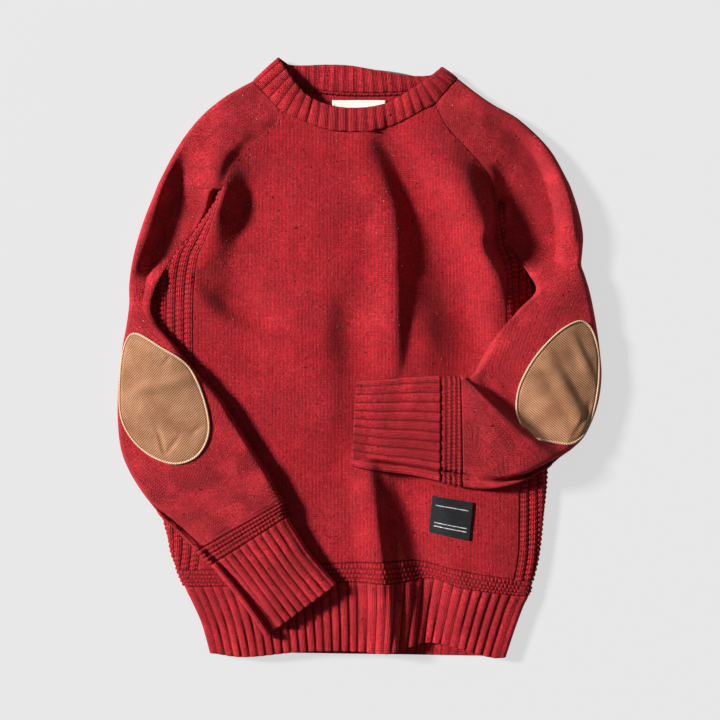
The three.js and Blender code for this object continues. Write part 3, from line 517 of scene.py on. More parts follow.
# ---- materials ----
class Nodes:
    """Small helper that adds linked shader nodes."""

    def __init__(self, name):
        self.material = bpy.data.materials.new(name)
        self.material.use_nodes = True
        self.tree = self.material.node_tree
        self.tree.nodes.clear()
        self.output = self.tree.nodes.new("ShaderNodeOutputMaterial")
        self.shader = self.tree.nodes.new("ShaderNodeBsdfPrincipled")
        self.tree.links.new(self.shader.outputs[0], self.output.inputs[0])

    def put(self, socket, value):
        if isinstance(value, bpy.types.NodeSocket):
            self.tree.links.new(value, socket)
        else:
            socket.default_value = value

    def maths(self, operation, a, b=None):
        node = self.tree.nodes.new("ShaderNodeMath")
        node.operation = operation
        for socket, value in zip(node.inputs, (a, b)):
            if value is not None:
                self.put(socket, value)
        return node.outputs[0]

    def plus(self, a, b):
        return self.maths("ADD", a, b)

    def times(self, a, b):
        return self.maths("MULTIPLY", a, b)

    def wave(self, value, length=1):
        """Rounded ridges, one for each length."""
        return self.maths("ABSOLUTE", self.maths("SINE", self.times(value, math.pi / length)))

    def sway(self, vector, scale, detail, amount):
        """Uneven drift to either side."""
        return self.times(self.maths("SUBTRACT", self.noise(vector, scale, detail), 0.5), amount)

    def noise(self, vector, scale, detail, rough=0.5):
        node = self.tree.nodes.new("ShaderNodeTexNoise")
        self.put(node.inputs["Vector"], vector)
        node.inputs["Scale"].default_value = scale
        node.inputs["Detail"].default_value = detail
        node.inputs["Roughness"].default_value = rough
        return node.outputs["Fac"]

    def flecks(self, vector, scale):
        node = self.tree.nodes.new("ShaderNodeTexVoronoi")
        self.put(node.inputs["Vector"], vector)
        node.inputs["Scale"].default_value = scale
        return node.outputs["Distance"]

    def chance(self, first, second):
        """A fixed random value for each pair of whole numbers."""
        pair = self.tree.nodes.new("ShaderNodeCombineXYZ")
        self.put(pair.inputs[0], first)
        self.put(pair.inputs[1], second)
        node = self.tree.nodes.new("ShaderNodeTexWhiteNoise")
        node.noise_dimensions = "2D"
        self.tree.links.new(pair.outputs[0], node.inputs["Vector"])
        return node.outputs["Value"]

    def ramp(self, value, low, high, low_to=0.0, high_to=1.0):
        node = self.tree.nodes.new("ShaderNodeMapRange")
        self.put(node.inputs["Value"], value)
        node.inputs["From Min"].default_value = low
        node.inputs["From Max"].default_value = high
        node.inputs["To Min"].default_value = low_to
        node.inputs["To Max"].default_value = high_to
        return node.outputs[0]

    def blend(self, factor, a, b):
        node = self.tree.nodes.new("ShaderNodeMix")
        node.data_type = "RGBA"
        self.put(node.inputs[0], factor)
        self.put(node.inputs[6], a)
        self.put(node.inputs[7], b)
        return node.outputs[2]

    def where(self):
        return self.tree.nodes.new("ShaderNodeTexCoord").outputs["Object"]

    def places(self):
        """Object coordinates and the cloth's own u and v, in metres."""
        layer = self.tree.nodes.new("ShaderNodeUVMap")
        layer.uv_map = "cloth"
        split = self.tree.nodes.new("ShaderNodeSeparateXYZ")
        self.put(split.inputs[0], layer.outputs[0])
        return self.where(), split.outputs[0], split.outputs[1]

    def bump(self, height, distance, strength):
        node = self.tree.nodes.new("ShaderNodeBump")
        self.put(node.inputs["Height"], height)
        node.inputs["Distance"].default_value = distance
        node.inputs["Strength"].default_value = strength
        self.tree.links.new(node.outputs[0], self.shader.inputs["Normal"])

    def finish(self, colour, roughness, sheen, sheen_tint):
        self.put(self.shader.inputs["Base Color"], colour)
        self.shader.inputs["Roughness"].default_value = roughness
        self.shader.inputs["Specular IOR Level"].default_value = 0.2
        self.shader.inputs["Sheen Weight"].default_value = sheen
        self.shader.inputs["Sheen Roughness"].default_value = 0.4
        self.shader.inputs["Sheen Tint"].default_value = sheen_tint
        return self.material


def knit_material(name, column, row, wobble, groove=None, felt=0.35, wear_and_sheen_from=0.5, bead=None):
    """Wool in V stitches; column and row are one stitch's width and height in millimetres.

    groove names the cloth direction, u or v, across which ribs stand every RIB_PITCH millimetres;
    bead is the length of the beads along each rib.
    """
    n = Nodes(name)
    where, u, v = n.places()
    drift = n.sway(where, 90, 3, wobble * MM)
    lean = n.sway(where, 55, 2, 2 * wobble * MM)
    across = n.maths("DIVIDE", n.plus(u, drift), column * MM)
    inside = n.maths("ABSOLUTE", n.maths("SUBTRACT", n.maths("FRACT", across), 0.5))
    slant = n.times(inside, -1.7)
    along = n.plus(n.maths("DIVIDE", n.plus(v, lean), row * MM), slant)
    leg = n.maths("SINE", n.times(inside, 2 * math.pi))
    crisp = n.times(n.maths("POWER", leg, 0.7), n.maths("POWER", n.wave(along), 0.6))
    fibre = n.noise(where, 1500, 4, 0.7)
    tuft = n.noise(where, 420, 3, 0.6)
    patchy = n.noise(where, 24, 4)
    felted = n.ramp(n.noise(where, 33, 3), 0.42, 0.66, 0, felt)
    sharp = n.times(crisp, n.maths("SUBTRACT", 1.0, felted))
    stitch = n.plus(sharp, n.times(felted, n.plus(tuft, 0.1)))
    odd = n.chance(n.maths("FLOOR", across), n.maths("FLOOR", along))
    yarn = n.blend(n.ramp(patchy, 0.3, 0.7), WOOL, WOOL_LIGHT)
    uneven = n.blend(n.ramp(odd, 0.0, 1.0, 0.42, 0.0), yarn, WOOL_DEEP)
    # the tufts are coloured pale: partly real wear, partly painted sheen
    wear_and_sheen = n.blend(n.ramp(tuft, wear_and_sheen_from, 0.85, 0, 0.8), uneven, WOOL_WEAR_AND_SHEEN)
    # painted shade: the low parts between the stitch legs are coloured towards deep wool
    shaded = n.blend(n.ramp(stitch, 0.1, 0.75), WOOL_DEEP, wear_and_sheen)
    height = n.plus(stitch, n.times(n.plus(fibre, tuft), 0.55))
    if groove:
        place = n.maths("DIVIDE", u if groove == "u" else v, RIB_PITCH * MM)
        ridge = n.wave(place)
        if bead:
            set_over = n.times(n.maths("FLOOR", place), 0.5)
            turn = n.plus(n.maths("DIVIDE", v if groove == "u" else u, bead * MM), set_over)
            ridge = n.times(ridge, n.wave(turn))
        # painted shade: the grooves between ribs, and between beads, are coloured darker
        shaded = n.blend(n.ramp(ridge, 0.05, 0.4, 0.75 if bead else 0.85, 0), shaded, WOOL_PAINTED_SHADE)
    pilled = n.blend(n.ramp(n.flecks(where, 330), 0.13, 0.07, 0, 0.5), shaded, WOOL_PILL)
    # dark specks: painted shade for small holes where stitches are missing
    hole_shade = n.blend(n.ramp(n.noise(where, 260, 1), 0.718, 0.75), pilled, WOOL_PAINTED_SHADE)
    n.bump(height, 1.3 * MM, 1.0)
    return n.finish(hole_shade, 0.95, 0.08, (0.9, 0.2, 0.22, 1))


def tone(colour, factor):
    return (*(channel * factor for channel in colour[:3]), 1)


def corduroy_material(name, base, light, angle):
    n = Nodes(name)
    where, u, v = n.places()
    turned = n.plus(n.times(u, math.cos(angle)), n.times(v, math.sin(angle)))
    wale = n.wave(n.plus(turned, n.sway(where, 40, 2, 2.2 * MM)), 2.1 * MM)
    pile = n.noise(where, 1900, 3, 0.7)
    crush = n.noise(where, 34, 5, 0.62)
    soft = n.blend(n.ramp(crush, 0.35, 0.68), base, light)
    rubbed = n.blend(n.ramp(pile, 0.5, 0.8, 0, 0.5), soft, tone(light, 1.25))
    # painted shade: the grooves between the wales are coloured darker
    wale_shaded = n.blend(n.ramp(wale, 0.1, 0.65), tone(base, 0.3), rubbed)
    height = n.plus(n.maths("POWER", wale, 0.6), n.times(n.plus(pile, crush), 0.5))
    n.bump(height, 0.7 * MM, 0.8)
    return n.finish(wale_shaded, 0.8, 0.45, (0.95, 0.75, 0.55, 1))


def tape_material(name, base, thread, stripes=()):
    """Closely woven label tape."""
    n = Nodes(name)
    where, u, v = n.places()
    weave = n.times(n.wave(u, 0.7 * MM), n.wave(v, 0.45 * MM))
    uneven = n.noise(where, 300, 3)
    colour = n.blend(n.ramp(n.times(weave, uneven), 0.1, 0.6), base, thread)
    for stripe in stripes:
        off = n.maths("ABSOLUTE", n.maths("SUBTRACT", v, stripe * MM))
        edge = n.maths("ABSOLUTE", n.maths("SUBTRACT", u, 23 * MM))
        inside = n.times(n.maths("LESS_THAN", off, 0.45 * MM), n.maths("LESS_THAN", edge, 18 * MM))
        shown = n.times(inside, n.ramp(uneven, 0.3, 0.55, 0.35, 0.9))
        colour = n.blend(shown, colour, STRIPE_THREAD)
    n.bump(weave, 0.25 * MM, 0.6)
    return n.finish(colour, 0.75, 0.1, (1, 1, 1, 1))


def cord_material(name, base, light):
    n = Nodes(name)
    where, u, v = n.places()
    strand = n.wave(n.plus(n.maths("DIVIDE", u, 2.6 * MM), n.maths("DIVIDE", v, 6 * MM)))
    lint = n.noise(where, 900, 3)
    n.bump(strand, 0.5 * MM, 0.7)
    # painted highlight and shade: the cord is coloured lighter on the crests of its twisted strands and
    # darker between them, with fibre noise
    return n.finish(n.blend(n.times(strand, lint), base, light), 0.85, 0.3, (1, 0.9, 0.75, 1))


plain_knit = knit_material("plain_knit", PLAIN_COLUMN, PLAIN_ROW, 0.9)
# the sleeves take the pale colour from a lower threshold than the body: partly wear, partly a painted sheen
# that makes the raised sleeves lighter
sleeve_wear_and_sheen_knit = knit_material("sleeve_wear_and_sheen_knit", PLAIN_COLUMN, PLAIN_ROW, 0.9, None, 0.6, 0.36)
chunky_knit = knit_material("chunky_knit", RIB_PITCH / 2, CHUNKY_BEAD / 2, 0.8, "u", 0.3, 0.5, CHUNKY_BEAD)
garter_knit = knit_material("garter_knit", 3.4, RIB_PITCH / 2, 0.6, "v", 0.3, 0.5, GARTER_BEAD)
rib_knit = knit_material("rib_knit", RIB_PITCH / 3, 2.6, 0.5, "u", 0.7, 0.42)
brown_corduroy = corduroy_material("brown_corduroy", (0.32, 0.13, 0.06, 1), (0.55, 0.27, 0.145, 1), 0.9)
tan_corduroy = corduroy_material("tan_corduroy", (0.27, 0.11, 0.05, 1), (0.43, 0.21, 0.11, 1), -0.75)
piping_cord = cord_material("piping_cord", (0.42, 0.26, 0.14, 1), (0.75, 0.55, 0.37, 1))
black_tape = tape_material("black_tape", (0.006, 0.006, 0.007, 1), (0.03, 0.03, 0.034, 1), (9, 13, 33))
cream_tape = tape_material("cream_tape", (0.84, 0.79, 0.7, 1), (0.94, 0.91, 0.85, 1))


def declare(piece, node):
    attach(piece, "root")
    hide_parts(node)


# ---- body pieces ----
def front_panel():
    rows = row_list(BAND_TOP_ROW + SEAM_ROWS, NECK_ROW, 2.6)
    lines = []
    for row in rows:
        left = spline(SEAM_LEFT, row - BAND_TOP_ROW)[0] + SEAM_GAP
        right = spline(SEAM_RIGHT, row - BAND_TOP_ROW)[0] - SEAM_GAP
        x = np.linspace(left, right, 150)
        y = row_y(row, x)
        lines.append(np.stack([x, y], axis=-1))
    plan = np.array(lines)
    grid = np.dstack([plan, body_top(plan[..., 0], plan[..., 1])])
    piece = cloth_wall("front_cloth", grid, KNIT, plain_knit, plan)
    declare(piece, "front_panel")


def back_panel():
    rows = row_list(BAND_TOP_ROW + SEAM_ROWS, NECK_ROW, 6)
    t = np.linspace(0, 1, 60)
    lines = []
    for row in rows:
        raglan = row - UNDERARM_ROW
        left = spline(BACK_RAGLAN_LEFT, raglan) if raglan > 0 else spline(SEAM_LEFT, row - BAND_TOP_ROW)
        right = spline(BACK_RAGLAN_RIGHT, raglan) if raglan > 0 else spline(SEAM_RIGHT, row - BAND_TOP_ROW)
        x = np.linspace(left[0] + SEAM_GAP, right[0] - SEAM_GAP, len(t))
        y = mix(left[1], right[1], t) if raglan > 0 else straight_row(row, x)
        if raglan > 0:
            dip = line_height(BACK_NECK_LINE, x) - mix(BACK_NECK_LINE[0, 1], BACK_NECK_LINE[-1, 1], t)
            y = y + dip * (raglan / RAGLAN_ROWS) ** 2
        lines.append(np.stack([x, y, np.zeros(len(t))], axis=-1))
    grid = np.array(lines)
    piece = cloth_wall("back_cloth", grid, KNIT, plain_knit, grid[..., :2], outward=-1)
    declare(piece, "back_panel")


def side_panel(name, node, edges, seams, side):
    rows = row_list(BAND_TOP_ROW + SEAM_ROWS, UNDERARM_ROW, 1.3)
    lines = []
    for row in rows:
        edge = spline(edges, row)[0]
        seam = spline(seams, row - BAND_TOP_ROW)[0]
        width = abs(edge - seam) - SEAM_GAP
        top = width * np.concatenate([0.18 * (np.arange(10) / 10) ** 2, np.linspace(0.18, 1, 38)])
        under = width * np.concatenate([0.3 * (np.arange(6) / 6) ** 2, np.linspace(0.3, 1, 6)])[::-1]
        x_under = edge - side * under
        x_top = edge - side * top[1:]
        y_under = straight_row(row, x_under)
        y_top = row_y(row, x_top)
        low = np.stack([x_under, y_under, body_under(x_under, y_under)], axis=-1)
        high = np.stack([x_top, y_top, body_top(x_top, y_top)], axis=-1)
        lines.append(np.concatenate([low, high]))
    grid = np.array(lines)
    u = distances(grid, 1)
    u = u[:, -1:] - u
    v = np.broadcast_to(grid[:, -1:, 1], u.shape)
    beads = 0.45 + 0.55 * np.abs(np.sin(math.pi * (v / CHUNKY_BEAD + 0.5 * np.floor(u / CHUNKY_COLUMN))))
    relief = CHUNKY_DEPTH * (lobes(u / CHUNKY_COLUMN) * beads - 0.5) * ease(u / 3)
    relief = np.where(grid[..., 2] > RELIEF_ABOVE, relief, 0)
    columns = np.stack([u * RIB_PITCH / CHUNKY_COLUMN, v], axis=-1)
    piece = cloth_wall(name, grid, KNIT, chunky_knit, columns, outward=-side, relief=relief)
    declare(piece, node)


def hem_ring(name, node, first, last, step, thickness, relief_of, material, long):
    rows = row_list(first, last, step)
    fold = NEAR_FOLD * (np.arange(9) / 9) ** 2
    lines = []
    parts = []
    for row in rows:
        left = spline(EDGE_LEFT, row)[0]
        right = spline(EDGE_RIGHT, row)[0]
        near = left + fold
        far = right - fold[::-1]
        x_top = np.concatenate([near, np.linspace(left + NEAR_FOLD, right - NEAR_FOLD, 290), far])
        x_under = np.concatenate([near[::2], np.linspace(left + NEAR_FOLD, right - NEAR_FOLD, 50), far[::2]])
        y_top = row_y(row, x_top)
        y_under = straight_row(row, x_under)
        top = np.stack([x_top, y_top, body_top(x_top, y_top)], axis=-1)[::-1]
        under = np.stack([x_under, y_under, body_under(x_under, y_under)], axis=-1)
        under[0, 2] -= SEAM_GAP / 2
        top[-1, 2] += SEAM_GAP / 2
        lines.append(np.concatenate([under, top[1:]]))
        around = np.concatenate([x_under, x_top[::-1][1:]])
        parts.append((around - left) / (right - left))
    grid = np.array(lines)
    part = np.array(parts)
    rise = np.broadcast_to(np.linspace(0, 1, len(rows))[:, None], part.shape)
    relief = np.where(grid[..., 2] > RELIEF_ABOVE, relief_of(part, rise, grid[..., 0]), 0)
    u = grid[..., 0] if relief_of is garter_beads else part * HEM_RIBS * RIB_PITCH
    uv = np.stack([u, rise * long], axis=-1)
    piece = cloth_wall(name, grid, thickness, material, uv, outward=-1, closed_from=0, relief=relief)
    declare(piece, node)


# each relief takes the part of the way round, the part of the way up and the length along, in that order
def hem_ribs(part, rise, along):
    tuck = 1 - 0.25 * np.exp(-((rise - 1) / 0.05) ** 2)
    return RIB_DEPTH * (lobes(part * HEM_RIBS) * tuck - 0.55)


def garter_beads(part, rise, along):
    """Four rows of beads, each row set half a bead over from the last."""
    row = np.floor(np.clip(rise, 0, 0.999) * GARTER_ROWS)
    beads = 0.25 + 0.75 * np.abs(np.sin(math.pi * (along / GARTER_BEAD + 0.5 * row)))
    return GARTER_DEPTH * (lobes(rise * GARTER_ROWS) * beads - 0.4)


# ---- sleeves ----
def arm_width(arm, stations, on_top):
    plan = spline(arm["table"], stations)
    end = plan[:, 2:4]
    if not on_top:
        back = spline(arm["back"], RAGLAN_STATIONS - stations)
        end = np.where((stations < RAGLAN_STATIONS)[:, None], back, end)
    return plan, end, np.linalg.norm(end - plan[:, :2], axis=1)


def sleeve_surface(arm, stations, places, on_top):
    """Points of a sleeve; places are distances in from the outer fold, one list for each station."""
    plan, end, width = arm_width(arm, stations, on_top)
    width = width[:, None]
    part = places / width
    x = mix(plan[:, 0:1], end[:, 0:1], part)
    y = mix(plan[:, 1:2], end[:, 1:2], part)
    off_seam = ease((stations - RAGLAN_STATIONS) / 1.3)[:, None]
    over = ease((stations - OVER_BODY[0]) / (OVER_BODY[1] - OVER_BODY[0]))[:, None]
    bed = over * lay_upon(x, y)
    reach = SLEEVE_ROUND * np.minimum(1, width / 26)
    inner_turn = mix(turn_over(width - places, reach), 1, 1 - off_seam)
    tucked = (1 - over) * ease(part)
    edge = bed + mix(SLEEVE_EDGE, TUCKED_EDGE, tucked)
    if not on_top:
        return np.dstack([x, y, mix(edge, bed, turn_over(places, reach) * inner_turn)])
    on_seam = spline(arm["table"], np.minimum(stations, RAGLAN_STATIONS))
    seam = body_top(on_seam[:, 2:3], on_seam[:, 3:4])
    meets = mix(seam, plan[:, 5:6], off_seam)
    folds = fold_height(arm["folds"], x, y) + ripple(x + 40, y)
    folds = folds * ease(places / 12) * ease((width - places) / 12)
    slope = mix(ease(part), part, over)
    high = mix(plan[:, 4:5], meets, slope) + plan[:, 6:7] * np.sin(math.pi * part) + folds
    high = np.maximum(high, bed + 2 * KNIT + 2)
    flange = np.maximum(plan[:, 7:8], 1e-6)
    layered = ease((flange - 2) / 4)
    lobe = bed + LAYER_STEP + 7.5 * np.sqrt(np.clip(1 - (2 * places / (0.55 * flange) - 1) ** 2, 0, 1))
    upper = mix(bed + LAYER_STEP, high, turn_over(places - flange, 0.7 * reach))
    two_layers = np.where(places < flange, lobe, upper)
    plain = mix(edge, high, turn_over(places, reach))
    z = mix(plain, two_layers, layered)
    z = mix(edge, z, inner_turn)
    return np.dstack([x, y, z])


def across_places(width, near_count, middle_count):
    scale = np.minimum(1, width / 50)[:, None]
    near = NEAR_FOLD * scale * ((np.arange(near_count) / near_count) ** 2)[None, :]
    t = np.linspace(0, 1, middle_count + 1)[None, :]
    middle = mix(NEAR_FOLD * scale, width[:, None] - NEAR_FOLD * scale, t)
    return np.concatenate([near, middle, (width[:, None] - near)[:, ::-1]], axis=1)


def station_list(table, first, last, step):
    stations = [first]
    for start in range(math.floor(first), math.ceil(last)):
        here, there = table[start], table[start + 1]
        reach = max(math.dist(here[:2], there[:2]), math.dist(here[2:4], there[2:4]))
        count = max(2, math.ceil(reach / step))
        stations += [s for s in (start + k / count for k in range(1, count + 1)) if first < s < last]
    return np.array([*stations, last])


def sleeve_ring(name, node, arm, first, last, sizes, material, slot_name, relief_of, flat, area):
    step, thickness, middle = sizes
    stations = station_list(arm["table"], first, last, step)
    _, _, top_width = arm_width(arm, stations, True)
    _, _, back_width = arm_width(arm, stations, False)
    top_places = across_places(top_width, 9, middle)
    under_places = across_places(back_width, 5, 8)
    top = sleeve_surface(arm, stations, top_places, True)
    under = sleeve_surface(arm, stations, under_places, False)[:, ::-1]
    closed = stations > RAGLAN_STATIONS + 0.5
    under[closed, 0, 2] -= SEAM_GAP / 2
    top[closed, -1, 2] += SEAM_GAP / 2
    plan = spline(arm["table"], stations)
    toward = plan[:, :2] - plan[:, 2:4]
    toward = toward / np.linalg.norm(toward, axis=1, keepdims=True)
    under[~closed, 0, :2] += toward[~closed] * SEAM_GAP
    top[~closed, -1, :2] += toward[~closed] * SEAM_GAP
    grid = np.concatenate([under, top[:, 1:]], axis=1)
    u = distances(grid, 1)
    u = u - u[:, under.shape[1] - 1:under.shape[1]]
    v = distances(grid, 0)
    under_part = -under_places[:, ::-1] / back_width[:, None]
    part = np.concatenate([under_part, top_places[:, 1:] / top_width[:, None]], axis=1)
    rise = np.broadcast_to(((stations - first) / (last - first))[:, None], part.shape)
    relief = relief_of(part, rise, u) if relief_of else np.zeros(part.shape)
    relief = np.where(part > 0, relief, 0)
    closed_from = int(np.argmax(closed)) if closed.any() else None
    if relief_of is cuff_ribs:
        u = part * CUFF_RIBS * RIB_PITCH
    if relief_of is garter_beads:
        v = rise * GARTER_ROWS * RIB_PITCH
    piece = cloth_wall(name, grid, thickness, material, np.stack([u, v], axis=-1), outward=arm["side"],
                       closed_from=closed_from, relief=relief)
    declare(piece, node)


def cuff_ribs(part, rise, along):
    return CUFF_DEPTH * (lobes(part * CUFF_RIBS) - 0.5)


# ---- collar ----
def collar(arms):
    def shoulder(arm, station_parts):
        at_neck = np.array([0.0])
        points = []
        for on_top, part in station_parts:
            _, _, width = arm_width(arm, at_neck, on_top)
            points.append(sleeve_surface(arm, at_neck, np.array([[part * width[0]]]), on_top)[0, 0])
        return np.array(points)

    left_parts = [(False, 1), (False, 0.12), (True, 0), (True, 0.12), (True, 0.5), (True, 1)]
    front_x = np.array([-68, -43, -17, 11, 36, 56, 74], float)
    front_y = row_y(NECK_ROW, front_x)
    front = np.stack([front_x, front_y, body_top(front_x, front_y)], axis=-1)
    back_x = np.array([68, 45, 23, -11, -40, -64], float)
    back = np.stack([back_x, line_height(BACK_NECK_LINE, back_x), np.zeros(len(back_x))], axis=-1)
    seam = np.concatenate([shoulder(arms[0], left_parts), front, shoulder(arms[1], left_parts[::-1]), back])
    toward = COLLAR_FREE[:, :2] - seam[:, :2]
    seam[:, :2] += toward / np.linalg.norm(toward, axis=1, keepdims=True) * 4 * SEAM_GAP
    turns = np.linspace(0.0004, 0.9996, 420)
    low = loop_spline(seam, turns)
    high = loop_spline(COLLAR_FREE, turns)
    rise = np.linspace(0, 1, 14)
    grid = np.array([mix(low, high, t) + np.array([0, 0, 2.2]) * math.sin(math.pi * t) for t in rise])
    grid[..., 2] = np.maximum(grid[..., 2], 0)
    middle = mix(low, high, 0.5)
    around = np.concatenate([[0], np.cumsum(np.linalg.norm(np.diff(middle, axis=0), axis=1))])
    u = np.broadcast_to(around, grid.shape[:2])
    v = np.broadcast_to(rise[:, None] * COLLAR_TALL, grid.shape[:2])
    ends = ease(v / 2.5) * ease((COLLAR_TALL - v) / 2.5)
    relief = 2.2 * (lobes(u / COLLAR_RIB) - 0.55) * (0.4 + 0.6 * ends)
    lining = 1.6 * (lobes(u / COLLAR_RIB + 0.5) - 0.4) * (0.4 + 0.6 * ends)
    outer = np.where(grid[..., 2] > 2.5, relief, 0)
    ribs = np.stack([u * RIB_PITCH / COLLAR_RIB, v], axis=-1)
    piece = cloth_wall("collar_rib", grid, RIB, rib_knit, ribs, closed_from=0,
                       relief=outer, lining=lining)
    declare(piece, "collar")


# ---- patches, piping and labels ----
def on_sleeve(arm, x, y):
    """Height of a sleeve's top at places in plan: finds the station whose line passes through each."""
    flat_x, flat_y = x.ravel(), y.ravel()
    low, high = (np.full(flat_x.shape, station) for station in arm["elbow"])
    for _ in range(30):
        middle = (low + high) / 2
        plan = spline(arm["table"], middle)
        arm_x, arm_y = plan[:, 2] - plan[:, 0], plan[:, 3] - plan[:, 1]
        cross = arm_x * (flat_y - plan[:, 1]) - arm_y * (flat_x - plan[:, 0])
        past = cross * arm["side"] > 0
        low = np.where(past, middle, low)
        high = np.where(past, high, middle)
    plan = spline(arm["table"], low)
    places = np.hypot(flat_x - plan[:, 0], flat_y - plan[:, 1])
    points = sleeve_surface(arm, low, places[:, None], True)[:, 0]
    return points[:, 2].reshape(x.shape)


def elbow_patch(side, arm, outline, material, creases):
    t = np.linspace(-1, 1, 110)
    u, v = np.meshgrid(t, t)
    across = u * np.sqrt(1 - v * v / 2)
    along = v * np.sqrt(1 - u * u / 2)
    radius = np.hypot(across, along)
    rim = loop_spline(outline, np.arctan2(along, across) / (2 * math.pi))
    plan = mix(outline.mean(axis=0), rim, radius[..., None])
    x, y = plan[..., 0], plan[..., 1]
    grid = np.dstack([x, y, on_sleeve(arm, x, y) + PATCH_LIFT + CORDUROY])
    relief = fold_height(creases, x, y) * ease((1 - radius) / 0.12) - 0.5 * ease((radius - 0.93) / 0.07)
    facing = np.cross(grid[55, 56] - grid[55, 55], grid[56, 55] - grid[55, 55])[2]
    piece = cloth_wall(f"patch_{side}_cloth", grid, CORDUROY, material, plan, outward=np.sign(facing),
                       relief=relief)
    declare(piece, f"patch_{side}")


def piping(side, arm, outline):
    turns = np.linspace(0, 1, 241)[:-1]
    centre = outline.mean(axis=0)
    rim = loop_spline(outline, turns)
    away = rim - centre
    reach = np.linalg.norm(away, axis=1, keepdims=True)
    plan = centre + away * (reach + CORD_OUT) / reach
    z = on_sleeve(arm, plan[:, 0], plan[:, 1]) + CORD_LIFT
    path = np.column_stack([plan, z])
    along = np.roll(path, -1, axis=0) - np.roll(path, 1, axis=0)
    along /= np.linalg.norm(along, axis=1, keepdims=True)
    out = np.column_stack([away / reach, np.zeros(len(path))])
    sideways = out - along * np.sum(out * along, axis=1, keepdims=True)
    sideways /= np.linalg.norm(sideways, axis=1, keepdims=True)
    upward = np.cross(along, sideways)
    angles = np.linspace(0, 2 * math.pi, 10, endpoint=False)
    ring = [path + CORD_RADIUS * (sideways * math.cos(a) + upward * math.sin(a)) for a in angles]
    points = np.stack(ring, axis=1).reshape(-1, 3)
    count, sides = len(path), len(angles)
    index = np.arange(count * sides).reshape(count, sides)
    ahead = np.roll(index, -1, axis=0)
    faces = np.dstack([index, ahead, np.roll(ahead, -1, axis=1), np.roll(index, -1, axis=1)])
    length = np.concatenate([[0], np.cumsum(np.linalg.norm(np.diff(path, axis=0), axis=1))])
    uv = np.dstack(np.broadcast_arrays(length[:, None], np.arange(sides) * 0.8)).reshape(-1, 2)
    piece = make_object(f"piping_{side}", points, faces.reshape(-1, 4), uv, piping_cord)
    declare(piece, f"patch_piping_{side}")


def hem_label():
    t = np.linspace(0, 1, 30)
    u, v = np.meshgrid(t, t)
    low_left, low_right, high_left, high_right = (np.array(corner, float) for corner in HEM_LABEL)
    low = mix(low_left, low_right, u[..., None])
    high = mix(high_left, high_right, u[..., None])
    plan = mix(low, high, v[..., None])
    grid = np.dstack([plan, body_top(plan[..., 0], plan[..., 1]) + LABEL_LIFT])
    piece = cloth_wall("hem_label_tape", grid, 0.9, black_tape, np.stack([u * 46, v * 43], axis=-1))
    declare(piece, "hem_label")


def neck_label():
    left, right, low, high = NECK_LABEL
    x, y = np.meshgrid(np.linspace(left, right, 30), np.linspace(low, high, 14))
    grid = np.dstack([x, y, 3.9 + 0.25 * np.sin(x / 9)])
    piece = cloth_wall("neck_label_tape", grid, 0.7, cream_tape, np.stack([x, y], axis=-1))
    declare(piece, "neck_label")


left_arm = {"table": LEFT_ARM, "back": BACK_RAGLAN_LEFT, "folds": LEFT_SLEEVE_FOLDS, "side": -1,
            "elbow": (11.0, 18.0)}
right_arm = {"table": RIGHT_ARM, "back": BACK_RAGLAN_RIGHT, "folds": RIGHT_SLEEVE_FOLDS, "side": 1,
             "elbow": (12.0, 19.0)}

front_panel()
back_panel()
side_panel("side_left_cloth", "side_panel_left", EDGE_LEFT, SEAM_LEFT, -1)
side_panel("side_right_cloth", "side_panel_right", EDGE_RIGHT, SEAM_RIGHT, 1)
hem_ring("hem_rib_cloth", "hem_rib", 0, RIB_TOP_ROW - SEAM_ROWS, 3, RIB, hem_ribs, rib_knit,
         77)
hem_ring("hem_band_cloth", "hem_band", RIB_TOP_ROW + SEAM_ROWS, BAND_TOP_ROW - SEAM_ROWS, 0.9, KNIT,
         garter_beads, garter_knit, GARTER_ROWS * RIB_PITCH)
for side, arm, band, cuff, cuts in (
    ("left", left_arm, LEFT_BAND_STATION, LEFT_CUFF_STATION,
     (((0.31, 0.618), 0.103), ((0.25, 0.023), 0.0055), ((0.226, 0.101), 0.0225))),
    ("right", right_arm, RIGHT_BAND_STATION, RIGHT_CUFF_STATION,
     (((0.333, 0.635), 0.109), ((0.284, 0.026), 0.0072), ((0.263, 0.105), 0.0247))),
):
    stretches = (
        ("sleeve", 0, band - SEAM_STATIONS, (3, KNIT, 40), sleeve_wear_and_sheen_knit, "wool", None),
        ("sleeve_band", band + SEAM_STATIONS, cuff - SEAM_STATIONS, (0.9, KNIT, 90), garter_knit, "wool",
         garter_beads),
        ("cuff", cuff + SEAM_STATIONS, len(arm["table"]) - 1, (3, RIB, 84), rib_knit, "wool_rib", cuff_ribs),
    )
    for (stretch, *build), cut in zip(stretches, cuts):
        sleeve_ring(f"{stretch}_{side}_cloth", f"{stretch}_{side}", arm, *build, *cut)
collar((left_arm, right_arm))
elbow_patch("left", left_arm, LEFT_PATCH, tan_corduroy, LEFT_CREASES)
elbow_patch("right", right_arm, RIGHT_PATCH, brown_corduroy, RIGHT_CREASES)
piping("left", left_arm, LEFT_PATCH)
piping("right", right_arm, RIGHT_PATCH)
hem_label()
neck_label()


